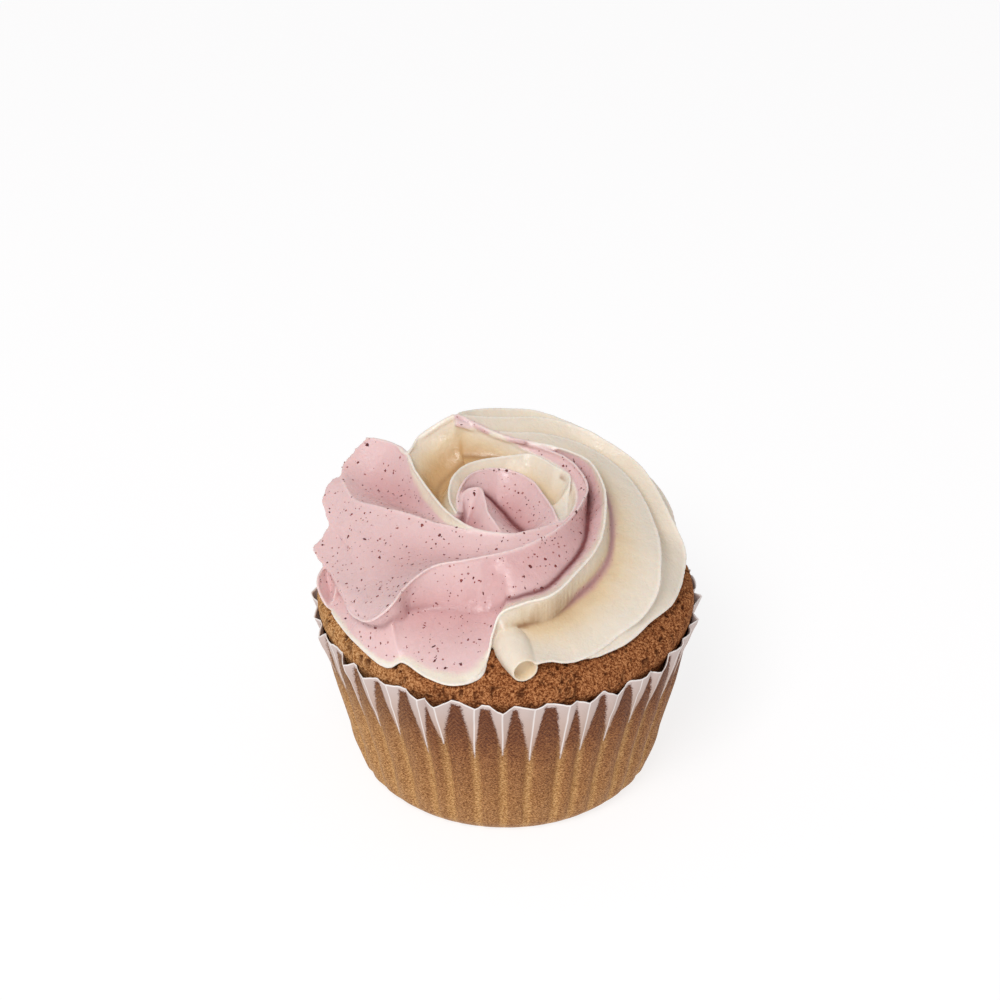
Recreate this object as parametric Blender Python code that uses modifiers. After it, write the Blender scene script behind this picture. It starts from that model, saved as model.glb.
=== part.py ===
"""Cupcake: sponge baked in a pleated paper case, with a two-tone buttercream swirl piped on top.

All sizes are in millimetres and become metres when each mesh is made. Z is up, the case
stands on Z = 0 and the cake is centred on the Z axis.
"""
import math

import bpy
import bmesh
import numpy as np

MM = 0.001

# paper case
PLEATS = 40
CASE_HEIGHT = 34.0
CASE_BASE_RADIUS = 25.5
CASE_RIM_RADIUS = 34.0
PAPER = 0.35
PLEAT_DEPTH_BASE = 0.45
PLEAT_DEPTH_RIM = 1.15
PLEAT_UNEVEN = 0.16
BASE_CHAMFER = 1.2

# sponge
FIT_GAP = 0.3
CROWN_HEIGHT = 8.5
CROWN_RADIUS = 33.0
CROWN_POWER = 3.0
CROWN_SHOULDER = 0.9

# buttercream
SEAT_GAP = 0.6
LAYER = 0.7
FOOT_RADIUS = 28.0
CORE_RADIUS = 13.0
CORE_HEIGHT = 10.5
VOXEL = 0.5
SWIRL_FACES = 5200

# Crest line of every piped fin, as stations along the way the nozzle travelled:
# (bearing in degrees, radius from the axis, height over the rim of the case).
FIN_WELL_RIM = [(138, 34, 18.5), (135, 28.5, 18.6), (137, 24, 18.8), (145, 19.5, 18.3), (161, 14, 18),
                (195, 9.8, 17.6), (228, 8, 17.1), (277, 7.4, 17), (327, 9, 17), (340, 10, 17)]
FIN_LEFT = [(152, 34, 14.5), (162, 28.5, 14), (168, 23.5, 15), (178, 17.5, 16), (199, 12.2, 16.7),
            (230, 8.3, 16.8), (277, 7.6, 16.8), (327, 9.2, 16.8), (345, 11, 17.2), (10, 12.7, 17.9),
            (35, 14.3, 18.5), (55, 15.6, 18.7), (72, 16.9, 18.9), (84, 17.9, 19.8), (90, 18.7, 20.7)]
FIN_UPPER = [(183, 31.7, 6.5), (191, 30.2, 5.5), (213, 31.5, 6.3), (224, 32, 9), (229, 30, 12),
             (228, 25, 14), (231, 20.6, 15.5), (246, 16.7, 16.6), (274, 13.8, 17.5), (308, 12.3, 18.3),
             (350, 12.8, 18.9), (14, 14.8, 19.3), (34, 16, 19.7), (50, 16.9, 20), (72, 17.6, 20.2),
             (90, 18.8, 20.8)]
FIN_FRONT = [(198, 32.6, 3), (216, 32.6, 2.6), (233, 33.1, 2), (236, 32, 3.2), (246, 33, 2.6),
             (255, 33.5, 2.5), (262, 31, 3), (263.5, 28.4, 5), (265, 26.2, 8.5), (268, 24.3, 11.5),
             (276, 23.4, 12.7), (289, 23.2, 13.6), (307, 20.6, 15), (330, 18.9, 16.5), (355, 17.6, 17.8),
             (20, 18.2, 18.8), (41, 19.2, 19.9), (60, 18.4, 20.4), (78, 17.9, 20.8), (90, 18.6, 21.2),
             (103, 20.7, 22.5), (112, 24, 23.8)]
FIN_CURL = [(278.7, 32.2, 6.5), (284, 31, 5.9), (289.5, 31, 5), (299, 30.4, 4.8), (312, 29.3, 6),
            (323, 29.6, 7), (334, 29.3, 8.8), (346, 27.9, 11), (5, 26.5, 12.5), (20, 26.3, 13.6),
            (37, 26.8, 14.8), (51, 26.8, 16.3), (65, 25.4, 18), (75, 23.4, 19.4), (88, 21.4, 20.3),
            (101, 20.9, 21.6), (114, 22.6, 23.4)]
FIN_RIGHT = [(298, 30.8, 4.1), (313, 30.4, 4.3), (326, 30, 4.9), (339, 30.9, 4.7), (357, 31.6, 5.5),
             (4, 31.9, 7), (14, 30.8, 10.3), (28, 30.8, 12.6), (41, 31.2, 14.7), (56, 30.5, 16.9),
             (66, 29.8, 18.4), (76, 28.3, 19.8), (88, 25.6, 21), (100, 24.1, 22.2), (112, 24, 23.6)]
FIN_BACK_1 = [(6, 31.6, 4.5), (28, 33, 9.5), (42, 32.9, 12.3), (56, 32.3, 15.2), (68, 31.3, 17.7),
              (79, 30.4, 19.7), (90, 28.8, 20.9), (101, 26.8, 22.2), (111, 24.6, 23.6)]
FIN_BACK_2 = [(46, 32, 4.5), (60, 33, 8), (74, 32.6, 12), (88, 31, 15.8), (99, 28.5, 19.2), (110, 25, 23)]
FIN_BACK_3 = [(80, 32, 4.5), (91, 32, 9.5), (101, 30.2, 14.8), (109, 27.2, 19.6), (112.5, 24.8, 23)]
FIN_BACK_4 = [(112, 32, 5), (118, 31.2, 11), (119, 28.8, 16), (117, 26.4, 20.2), (113.5, 24.5, 23)]
PEAK_RIDGE = [(138, 34, 18.5), (135, 28.5, 18.6), (137, 24.2, 18.8), (128, 25.4, 20), (118, 24.8, 22.2),
              (112.5, 24.2, 23.7)]
WELL_EDGE = [(340, 10, 17), (352, 11.4, 17.4), (10, 12.7, 17.9), (35, 14.3, 18.5), (55, 15.6, 18.7),
             (72, 16.9, 18.9), (84, 17.9, 19.8), (90, 18.6, 21.2), (103, 20.7, 22.5), (112, 24, 23.8),
             (118, 24.8, 22.2), (128, 25.2, 20), (137, 24, 18.8), (145, 19.5, 18.3), (161, 14, 18),
             (195, 9.8, 17.6)]
PETAL_OUTER = [(339, 9.9, 16.9), (0, 10.6, 16.6), (18, 11.4, 17.2), (26, 12.6, 18.8), (38, 14.3, 19.2),
               (50, 14, 19.4), (62, 14.9, 19.5), (74, 15.7, 19.5), (84, 14.8, 19.4), (96, 14.4, 19.3),
               (109, 14.3, 19.2), (122, 14, 19.1), (134, 13.2, 18.7), (149, 11.6, 18), (170, 9.8, 17.5),
               (192, 8.7, 17.2)]
PETAL_INNER = [(338, 9.8, 17.2), (358, 8.1, 17.7), (34, 7.7, 18), (58, 8.9, 18.3), (80, 10.4, 18.6),
               (93, 11.2, 18.8), (109, 11.4, 19), (124, 11.1, 19), (144, 9.6, 18.8), (163, 8.9, 17.6),
               (185, 8.2, 16.6)]
HEART = [(265, 5.2, 15.2), (245, 3.6, 16), (190, 3.2, 17), (150, 4.2, 17.9), (138, 5.4, 18.5),
         (132, 6.8, 18.6), (143, 8.4, 18.2), (165, 8.4, 17)]

ROLL_INNER = [(182.5, 32.0, 6.7), (187, 31.0, 6.1), (191, 30.6, 5.6), (195, 31.2, 4.6), (198, 32.4, 3.4)]
ROLL_OUTER = [(183, 32.4, 6.5), (188.5, 33.5, 6.2), (192.5, 33.7, 5.4), (196.5, 33.3, 4.3), (198.5, 32.7, 3.3)]

# Axis of the rolled-up end of the sheet that starts at the front, in the same stations.
CURL_AXIS = [(272, 24.5, 5.3), (273, 26.5, 5.4), (274, 28.5, 5.4), (275, 30.4, 5.2), (276, 32.2, 5)]
CURL_RADIUS = [3.4, 3.3, 3, 2.6, 2.2]

# Skin between two crests: matched stations, depth of the valley at each and where it lies.
SKINS = {
    "left_roll": dict(
        a=ROLL_INNER, b=ROLL_OUTER, corner=8, pa=0.8, pb=0.7,
        match=[(0, 0), (1, 1), (2, 2), (3, 3), (4, 4)],
        depth=[0.3, 2.6, 3.4, 2.6, 0.3], at=0.5),
    "left_shoulder": dict(
        a=FIN_WELL_RIM, b=FIN_LEFT, corner=4, pa=1.0, pb=1.0,
        match=[(0, 0), (1, 1), (2, 2), (3, 3), (4, 3.7), (5, 4.3), (6, 5), (7, 6)],
        depth=[0.3, 3.2, 3.6, 3.0, 1.8, 0.9, 0.2, 0], at=0.6,
        lobes=[(0, 0), (0.35, 0.8), (0.7, 1.2), (1, 0)], reach=0.8),
    "top_band": dict(
        a=FIN_LEFT, b=FIN_UPPER, corner=4, pa=0.9, pb=0.9,
        match=[(0, 0), (1, 2), (2, 3.6), (3, 5), (4, 6), (5, 7), (6, 8), (7, 9), (8, 10), (9, 11), (10, 12),
               (11, 13), (12, 14), (14, 15)],
        depth=[0.2, 1.2, 2.2, 2.8, 2.8, 2.2, 1.7, 1.3, 1, 0.8, 0.6, 0.4, 0.2, 0], at=0.5,
        lobes=[(0, 0), (0.07, 1.6), (0.17, 2.5), (0.3, 2.9), (0.42, 2.0), (0.54, 0.9), (0.66, 1.7),
               (0.8, 3.2), (0.9, 2.2), (1, 0)], reach=1.1),
    "front_petal": dict(
        a=FIN_UPPER, b=FIN_FRONT, corner=8, pa=0.9, pb=1.0,
        match=[(0, 0), (1, 0.6), (2, 1), (3, 2), (4, 2.7), (5, 3.3), (6, 4), (7, 5.2), (7.4, 6.6), (7.7, 8.4),
               (8, 10), (9, 12), (10, 13.8), (11, 14.8), (12, 15.8), (13, 16.6), (14, 17.8), (15, 19)],
        depth=[1.5, 1.2, 1.0, 2, 2.8, 3.4, 3.6, 3.6, 3.2, 2.8, 2.2, 1.5, 2.2, 2.0, 1.8, 1.2, 0.7, 0.2],
        at=[0.4, 0.3, 0.2, 0.22, 0.25, 0.3, 0.33, 0.36, 0.45, 0.6, 0.75, 0.72, 0.5, 0.45, 0.45, 0.4, 0.4, 0.4]),
    "right_sweep": dict(
        a=FIN_FRONT, b=FIN_CURL, corner=6, pa=0.8, pb=1.1,
        match=[(8.8, 0), (9.2, 0.5), (9.7, 1.2), (10.4, 2.2), (11.2, 3.3), (12, 4.5), (13, 6.1), (14, 7.5), (15, 9),
               (16, 10.3), (17, 11.6), (18, 13.2), (19, 14.1), (20, 15.1), (21, 16)],
        depth=[0.8, 1.6, 2.6, 3.2, 3.4, 3.2, 3.0, 2.8, 2.6, 2.4, 2, 1.5, 1.1, 0.7, 0.1], at=0.27),
    "right_flank": dict(
        a=FIN_CURL, b=FIN_RIGHT, corner=4, pa=0.9, pb=1.0,
        match=[(2.2, 0), (4, 1), (5, 2), (6, 3), (7, 4), (8, 5), (8.7, 6), (9.5, 7), (10.3, 8), (11.4, 9),
               (12.1, 10), (13.1, 11), (14.1, 12), (15, 13), (16, 14)],
        depth=[0.1, 0.3, 0.6, 1, 1.3, 1.5, 1.6, 1.6, 1.6, 1.6, 1.5, 1.4, 1.2, 0.8, 0.1], at=0.35),
    "back_1": dict(
        a=FIN_RIGHT, b=FIN_BACK_1, corner=4, pa=0.9, pb=1.0,
        match=[(4.6, 0), (7, 1), (8, 2), (9, 3), (10.2, 4), (11.2, 5), (12.1, 6), (13, 7), (14, 8)],
        depth=[0.3, 0.8, 0.8, 0.9, 1.1, 1.3, 1.2, 0.8, 0.1], at=0.4),
    "back_2": dict(
        a=FIN_BACK_1, b=FIN_BACK_2, corner=5, pa=0.9, pb=1.0,
        match=[(0, 0), (2, 1), (3.5, 2), (5, 3), (6.5, 4), (8, 5)],
        depth=[1.5, 2.2, 2.4, 2.2, 1.5, 0.2], at=0.35),
    "back_3": dict(
        a=FIN_BACK_2, b=FIN_BACK_3, corner=5, pa=0.9, pb=1.0,
        match=[(0, 0), (1.5, 1), (3, 2), (4, 3), (5, 4)],
        depth=[1.5, 2.2, 2.2, 1.5, 0.2], at=0.35),
    "back_4": dict(
        a=FIN_BACK_3, b=FIN_BACK_4, corner=5, pa=0.9, pb=1.0,
        match=[(0, 0), (1, 1), (2, 2), (3, 3), (4, 4)],
        depth=[1.5, 2.2, 2.2, 1.5, 0.2], at=0.4),
    "back_left": dict(
        a=FIN_BACK_4, b=PEAK_RIDGE, corner=5, pa=0.9, pb=1.0,
        match=[(0, 0), (1, 1), (2, 2), (3, 3.2), (4, 5)],
        depth=[2.5, 3, 2, 1, 0], at=0.4),
    "well_wall": dict(
        a=WELL_EDGE, b=PETAL_OUTER, corner=5, pa=0.9, pb=0.6,
        match=[(0, 0), (1, 1), (2, 2), (2.8, 4), (3.6, 5), (4.6, 6.5), (5.6, 7.5), (7, 9), (8, 10), (9, 10.9),
               (10, 11.3), (11, 11.7), (12, 12.2), (13, 13), (14, 14), (15, 15)],
        depth=[0.1, 0.5, 0.8, 1.2, 1.8, 2.2, 2.6, 3.2, 3.8, 4.5, 5, 5.2, 5, 4, 2.5, 0.3], at=0.6),
    "petal_outer": dict(
        a=PETAL_OUTER, b=PETAL_INNER, corner=6, pa=1.0, pb=0.7,
        match=[(0, 0), (1, 0.4), (2, 0.7), (3, 1.2), (5, 2), (6.5, 3), (8, 4), (9, 5), (10, 6), (11, 7),
               (12.5, 8), (14, 9), (15, 10)],
        depth=[0.1, 0.4, 1.2, 2.0, 2.6, 2.6, 2.4, 2.2, 2.0, 2, 1.8, 1, 0.3], at=0.75),
    "petal_inner": dict(
        a=PETAL_INNER, b=HEART, corner=6, pa=0.8, pb=0.9,
        match=[(0, 0), (1, 0.6), (2, 1.5), (3, 2.3), (4, 2.9), (5, 3.5), (6, 4.2), (7, 5), (8, 6), (9, 7)],
        depth=[1, 2.5, 3.2, 3.2, 3, 2.6, 2, 1.5, 1, 0.3], at=0.5),
    "hollow": dict(
        a=HEART, b=FIN_WELL_RIM, corner=6, pa=1.3, pb=0.5,
        match=[(0, 7.4), (1, 6.6), (2, 6), (3, 5.6), (4, 5.3), (5, 5.1), (7, 4.9)],
        depth=[1.5, 4, 5, 5, 4.5, 4, 1], at=0.7),
}
STEP_ALONG = 1.1
ROWS_ACROSS = 10


def clear_scene():
    for ob in list(bpy.data.objects):
        bpy.data.objects.remove(ob)


def material(name, color, roughness):
    mat = bpy.data.materials.new(name)
    mat.use_nodes = True
    shader = mat.node_tree.nodes["Principled BSDF"]
    shader.inputs["Base Color"].default_value = (*color, 1.0)
    shader.inputs["Roughness"].default_value = roughness
    return mat


def make_object(name, verts, faces, mat):
    mesh = bpy.data.meshes.new(name)
    mesh.from_pydata((np.asarray(verts) * MM).tolist(), [], faces)
    mesh.update()
    mesh.materials.append(mat)
    ob = bpy.data.objects.new(name, mesh)
    bpy.context.scene.collection.objects.link(ob)
    return ob


def polar(stations):
    """Stations of bearing, radius and height as XYZ points."""
    s = np.array(stations, float)
    a = np.radians(s[:, 0])
    return np.stack([s[:, 1] * np.cos(a), s[:, 1] * np.sin(a), s[:, 2]], -1)


def hermite(p0, p1, m0, m1, u):
    return ((2 * u**3 - 3 * u**2 + 1) * p0 + (u**3 - 2 * u**2 + u) * m0
            + (3 * u**2 - 2 * u**3) * p1 + (u**3 - u**2) * m1)


def spline(points, t):
    """Smooth curve through points; t counts stations from 0."""
    gaps = np.linalg.norm(np.diff(points, axis=0), axis=1) ** 0.6
    slope = np.diff(points, axis=0) / gaps[:, None]
    tangent = np.empty_like(points)
    before, after = gaps[:-1, None], gaps[1:, None]
    tangent[1:-1] = (slope[:-1] * after + slope[1:] * before) / (before + after)
    tangent[0], tangent[-1] = slope[0], slope[-1]
    t = np.clip(np.asarray(t, float), 0, len(points) - 1)
    i = np.minimum(t.astype(int), len(points) - 2)
    u = (t - i)[:, None]
    h = gaps[i][:, None]
    return hermite(points[i], points[i + 1], tangent[i] * h, tangent[i + 1] * h, u)


def ease(values, n):
    """Values at n even places along a list of key values, without overshoot."""
    values = np.asarray(values, float)
    step = np.diff(values)
    limit = 2 * np.minimum(np.abs(step[:-1]), np.abs(step[1:])) * (step[:-1] * step[1:] > 0)
    middle = 0.5 * (step[:-1] + step[1:])
    tangent = np.concatenate([step[:1], np.sign(middle) * np.minimum(np.abs(middle), limit), step[-1:]])
    u = np.linspace(0, len(values) - 1, n)
    i = np.minimum(u.astype(int), len(values) - 2)
    return hermite(values[i], values[i + 1], tangent[i], tangent[i + 1], u - i)


def crown(radius):
    """Height of the sponge over the rim of the case at a radius."""
    inside = np.clip(1 - (radius / (CASE_RIM_RADIUS + 0.6)) ** CROWN_POWER, 0, 1)
    return CROWN_HEIGHT * inside ** CROWN_SHOULDER


def skin(a, b, match, depth, at, corner, pa, pb, lobes=None, reach=1.0):
    """Surface from crest a across a valley to crest b, as a grid of points."""
    crest_a, crest_b = polar(a), polar(b)
    match = np.array(match, float)
    probe = np.linspace(0, len(match) - 1, 200)
    walk = spline(crest_b, np.interp(probe, np.arange(len(match)), match[:, 1]))
    length = np.linalg.norm(np.diff(walk, axis=0), axis=1).sum()
    n = max(8, int(length / STEP_ALONG))
    start = spline(crest_a, ease(match[:, 0], n))
    end = spline(crest_b, ease(match[:, 1], n))
    across = np.linspace(0, 1, ROWS_ACROSS)
    across = 0.4 * across + 0.3 * (1 - np.cos(np.pi * across))
    chord = end - start
    along = np.gradient(0.5 * (start + end), axis=0)
    normal = np.cross(along, chord)
    normal /= np.linalg.norm(normal, axis=1)[:, None] + 1e-9
    normal *= np.where(normal[:, 2:3] < 0, -1.0, 1.0)
    place = ease(at, n) if np.ndim(at) else np.full(n, at)
    fall = (across[None] / place[:, None]) ** pa
    rise = ((1 - across[None]) / (1 - place[:, None])) ** pb
    sag = -np.log(np.exp(-corner * fall) + np.exp(-corner * rise)) / corner
    sag += np.log(2) / corner * np.minimum(1, 1.5 * np.minimum(fall, rise))
    sag = np.maximum(sag, 0)
    sag[:, 0] = 0
    sag[:, -1] = 0
    grid = start[:, None] + across[None, :, None] * chord[:, None]
    grid -= (ease(depth, n)[:, None] * sag)[..., None] * normal[:, None]
    if lobes:
        keys = np.array(lobes, float)
        i = np.clip(np.searchsorted(keys[:, 0], across) - 1, 0, len(keys) - 2)
        f = (across - keys[i, 0]) / (keys[i + 1, 0] - keys[i, 0])
        f = f * f * (3 - 2 * f)
        bulge = keys[i, 1] * (1 - f) + keys[i + 1, 1] * f
        fade = np.exp(-(np.linspace(0, len(match) - 1, n) / reach) ** 2)
        out = grid * [1, 1, 0]
        out /= np.linalg.norm(out, axis=-1)[..., None] + 1e-9
        grid += out * (fade[:, None] * bulge[None])[..., None]
    floor = crown(np.hypot(grid[..., 0], grid[..., 1])) + SEAT_GAP + LAYER
    grid[..., 2] = np.maximum(grid[..., 2], floor)
    return grid


def seat(grid):
    """Points of a skin dropped to the underside of the buttercream."""
    radius = np.hypot(grid[..., 0], grid[..., 1])
    kept = np.minimum(radius, FOOT_RADIUS)
    low = grid * (kept / (radius + 1e-9))[..., None]
    low[..., 2] = crown(kept) + SEAT_GAP
    return low


def block(grid):
    """Closed solid between a skin and the underside."""
    n, m = grid.shape[:2]
    verts = np.concatenate([grid.reshape(-1, 3), seat(grid).reshape(-1, 3)])
    top = np.arange(n * m).reshape(n, m)
    low = top + n * m
    quads = [np.stack([top[:-1, :-1], top[1:, :-1], top[1:, 1:], top[:-1, 1:]], -1).reshape(-1, 4)]
    quads.append(np.stack([low[:-1, :-1], low[:-1, 1:], low[1:, 1:], low[1:, :-1]], -1).reshape(-1, 4))
    for side in ((slice(None), 0), (slice(None), -1), (0, slice(None)), (-1, slice(None))):
        up, down = top[side], low[side]
        quads.append(np.stack([up[:-1], up[1:], down[1:], down[:-1]], -1))
    return verts, np.concatenate(quads)


def core_block():
    """Solid middle under the well."""
    a = np.linspace(0, 2 * np.pi, 25)
    r = np.linspace(0, CORE_RADIUS, 6)
    grid = np.stack([r[None] * np.cos(a)[:, None], r[None] * np.sin(a)[:, None],
                     np.full((25, 6), CORE_HEIGHT)], -1)
    return block(grid)


def curl_block():
    """Closed rod along the axis of the rolled end, its underside resting on the crown."""
    path = spline(polar(CURL_AXIS), np.linspace(0, len(CURL_AXIS) - 1, 12))
    along = np.gradient(path, axis=0)
    along /= np.linalg.norm(along, axis=1)[:, None]
    side = np.cross(along, [0.0, 0.0, 1.0])
    side /= np.linalg.norm(side, axis=1)[:, None]
    up = np.cross(side, along)
    a = np.linspace(0, 2 * np.pi, 16, endpoint=False)
    radius = np.interp(np.linspace(0, len(CURL_AXIS) - 1, 12), np.arange(len(CURL_AXIS)), CURL_RADIUS)[:, None, None]
    ring = path[:, None] + radius * (np.cos(a)[:, None] * side[:, None] + np.sin(a)[:, None] * up[:, None])
    ring[..., 2] = np.maximum(ring[..., 2], crown(np.hypot(ring[..., 0], ring[..., 1])) + SEAT_GAP)
    verts, faces = close_rings(list(ring), path[0], path[-1])
    return verts, np.array(faces)


def buttercream(mat):
    verts, faces = [], []
    count = 0
    blocks = [block(skin(**spec)) for spec in SKINS.values()] + [core_block(), curl_block()]
    for points, quads in blocks:
        verts.append(points)
        faces += (quads + count).tolist()
        count += len(points)
    verts = np.concatenate(verts)
    verts[:, 2] += CASE_HEIGHT
    ob = make_object("buttercream_swirl", verts, faces, mat)
    apply_modifier(ob, "REMESH", mode="VOXEL", voxel_size=VOXEL * MM, adaptivity=0.0)
    keep_largest_body(ob)
    smooth = dict(iterations=2, factor=0.35)
    apply_modifier(ob, "SMOOTH", **smooth)
    ratio = SWIRL_FACES / (2 * len(ob.data.polygons))
    apply_modifier(ob, "DECIMATE", decimate_type="COLLAPSE", ratio=ratio, use_collapse_triangulate=True)
    keep_largest_body(ob)
    return ob


def apply_modifier(ob, kind, **settings):
    mod = ob.modifiers.new(kind.title(), kind)
    for key, value in settings.items():
        setattr(mod, key, value)
    depsgraph = bpy.context.evaluated_depsgraph_get()
    mesh = bpy.data.meshes.new_from_object(ob.evaluated_get(depsgraph))
    ob.modifiers.clear()
    ob.data = mesh


def keep_largest_body(ob):
    """Drop stray shells and make the faces point outwards."""
    bm = bmesh.new()
    bm.from_mesh(ob.data)
    left = set(bm.verts)
    bodies = []
    while left:
        stack = [left.pop()]
        body = set(stack)
        while stack:
            for edge in stack.pop().link_edges:
                for vert in edge.verts:
                    if vert in left:
                        left.discard(vert)
                        body.add(vert)
                        stack.append(vert)
        bodies.append(body)
    bodies.sort(key=len)
    stray = [vert for body in bodies[:-1] for vert in body]
    bmesh.ops.delete(bm, geom=stray, context="VERTS")
    bmesh.ops.recalc_face_normals(bm, faces=bm.faces)
    bm.to_mesh(ob.data)
    bm.free()


def pleat_bearings():
    """Bearings of the folds of the case, a little uneven, valley and ridge in turn."""
    folds = np.arange(2 * PLEATS)
    wobble = 0.18 * np.sin(folds * 2.4) + 0.12 * np.sin(folds * 5.1 + 1.0)
    return (folds + wobble) * math.pi / PLEATS


def pleated_ring(radius, depth, height):
    """One ring of the folded wall: ridges stand out, valleys stand in."""
    folds = np.arange(2 * PLEATS)
    side = np.where(folds % 2 == 0, -1.0, 1.0)
    uneven = 1 + PLEAT_UNEVEN * np.sin(folds * 1.7 + 0.4) + PLEAT_UNEVEN * np.sin(folds * 4.3)
    r = radius + side * depth * uneven
    a = pleat_bearings()
    z = np.broadcast_to(height, r.shape)
    return np.stack([r * np.cos(a), r * np.sin(a), z], -1)


def case_radius(z):
    return CASE_BASE_RADIUS + (CASE_RIM_RADIUS - CASE_BASE_RADIUS) * z / CASE_HEIGHT


def case_depth(z):
    f = z / CASE_HEIGHT
    return PLEAT_DEPTH_BASE + (PLEAT_DEPTH_RIM - PLEAT_DEPTH_BASE) * f


def close_rings(rings, bottom_center, top_center):
    """Stack of rings joined into one closed skin with a point at each end."""
    n = len(rings[0])
    verts = np.concatenate(rings + [[bottom_center, top_center]])
    faces = []
    for k in range(len(rings) - 1):
        for i in range(n):
            j = (i + 1) % n
            a, b, c, d = k * n + i, k * n + j, (k + 1) * n + j, (k + 1) * n + i
            faces.append((a, b, c))
            faces.append((a, c, d))
    low = len(verts) - 2
    high = len(verts) - 1
    top = (len(rings) - 1) * n
    for i in range(n):
        j = (i + 1) % n
        faces.append((low, j, i))
        faces.append((high, top + i, top + j))
    return verts, faces


def paper_case(mat):
    tip = 0.5 * np.where(np.arange(2 * PLEATS) % 2 == 0, -1.0, 1.0)
    tip += 0.35 * np.sin(np.arange(2 * PLEATS) * 1.3)
    rings = [pleated_ring(CASE_BASE_RADIUS - BASE_CHAMFER, 0.1, 0.0)]
    for z in (BASE_CHAMFER * 0.6, 12.0, 22.0):
        rings.append(pleated_ring(case_radius(z), case_depth(z), z))
    rings.append(pleated_ring(CASE_RIM_RADIUS, PLEAT_DEPTH_RIM, CASE_HEIGHT + tip))
    rings.append(pleated_ring(CASE_RIM_RADIUS - PAPER, PLEAT_DEPTH_RIM, CASE_HEIGHT + tip))
    for z in (22.0, 12.0, BASE_CHAMFER * 0.6 + PAPER):
        rings.append(pleated_ring(case_radius(z) - PAPER, case_depth(z), z))
    rings.append(pleated_ring(CASE_BASE_RADIUS - BASE_CHAMFER - PAPER, 0.1, PAPER))
    verts, faces = close_rings(rings, (0, 0, 0), (0, 0, PAPER))
    return make_object("paper_case", verts, faces, mat)


def sponge(mat):
    inset = PAPER + FIT_GAP
    rings = [pleated_ring(CASE_BASE_RADIUS - BASE_CHAMFER - inset, 0.1, PAPER + FIT_GAP)]
    for z in (BASE_CHAMFER * 0.6 + inset, 12.0, 22.0):
        rings.append(pleated_ring(case_radius(z) - inset - 0.1, case_depth(z), z))
    shoulder = CASE_HEIGHT - 1.2
    rings.append(pleated_ring(case_radius(shoulder) - inset - 0.25, 0.9, shoulder))
    for radius in (CROWN_RADIUS - 0.8, 29.5, 24.0, 16.0, 8.0):
        depth = 0.25 if radius > 30 else 0.0
        rings.append(pleated_ring(radius, depth, CASE_HEIGHT + float(crown(radius))))
    top = CASE_HEIGHT + CROWN_HEIGHT
    verts, faces = close_rings(rings, (0, 0, PAPER + FIT_GAP), (0, 0, top))
    return make_object("sponge", verts, faces, mat)


clear_scene()
sponge(material("sponge_crumb", (0.42, 0.17, 0.045), 0.9))
paper_case(material("greaseproof_paper", (0.62, 0.42, 0.28), 0.55))
buttercream(material("buttercream", (0.82, 0.66, 0.55), 0.45))
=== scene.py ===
"""Cupcake with a piped two-tone swirl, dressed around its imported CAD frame.

Shapes are worked out in millimetres, Z up, with the cake's axis on the Z axis, and become
metres when a mesh is made. Bearings run anticlockwise from +X; the front faces -Y.
"""
import math

import bpy
import numpy as np
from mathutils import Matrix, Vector


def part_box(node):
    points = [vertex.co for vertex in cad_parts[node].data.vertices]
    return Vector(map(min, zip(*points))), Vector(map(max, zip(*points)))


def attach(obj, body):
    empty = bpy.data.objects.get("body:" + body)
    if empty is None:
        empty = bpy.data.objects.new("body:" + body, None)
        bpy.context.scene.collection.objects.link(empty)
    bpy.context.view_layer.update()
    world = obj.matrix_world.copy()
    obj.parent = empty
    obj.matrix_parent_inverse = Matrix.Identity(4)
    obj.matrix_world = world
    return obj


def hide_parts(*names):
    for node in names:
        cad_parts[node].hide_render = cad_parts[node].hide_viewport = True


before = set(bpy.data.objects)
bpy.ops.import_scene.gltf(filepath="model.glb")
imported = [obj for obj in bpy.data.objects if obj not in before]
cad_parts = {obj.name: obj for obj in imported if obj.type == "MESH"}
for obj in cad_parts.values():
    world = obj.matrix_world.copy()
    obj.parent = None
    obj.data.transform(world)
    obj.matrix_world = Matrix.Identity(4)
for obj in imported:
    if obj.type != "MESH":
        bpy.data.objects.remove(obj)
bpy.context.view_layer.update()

MM = 0.001
CASE_TOP = np.array(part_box("paper_case")[1]) / MM
SPONGE_TOP = np.array(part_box("sponge")[1]) / MM

# paper case
PLEATS = 40
TIP_RISE = 0.85
CASE_HEIGHT = CASE_TOP[2] - TIP_RISE
CASE_PROFILE = [26.0, 27.7, 30.3, 32.7, 33.4]
CASE_RIM_RADIUS = 34.0
PAPER = 0.15
BASE_ROUND = 1.3

# sponge
CROWN_HEIGHT = SPONGE_TOP[2] - CASE_HEIGHT
CROWN_POWER = 3.0
CROWN_SHOULDER = 0.9

# buttercream
SEAT_GAP = 0.2
LAYER = 0.8
CORE_RADIUS = 13.0
CORE_HEIGHT = 10.5
VOXEL = 0.22
SWIRL_TRIANGLES = 190000
STEP_ALONG = 0.3
ROWS_ACROSS = 36
BEAD_RADIUS = 0.27

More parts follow.
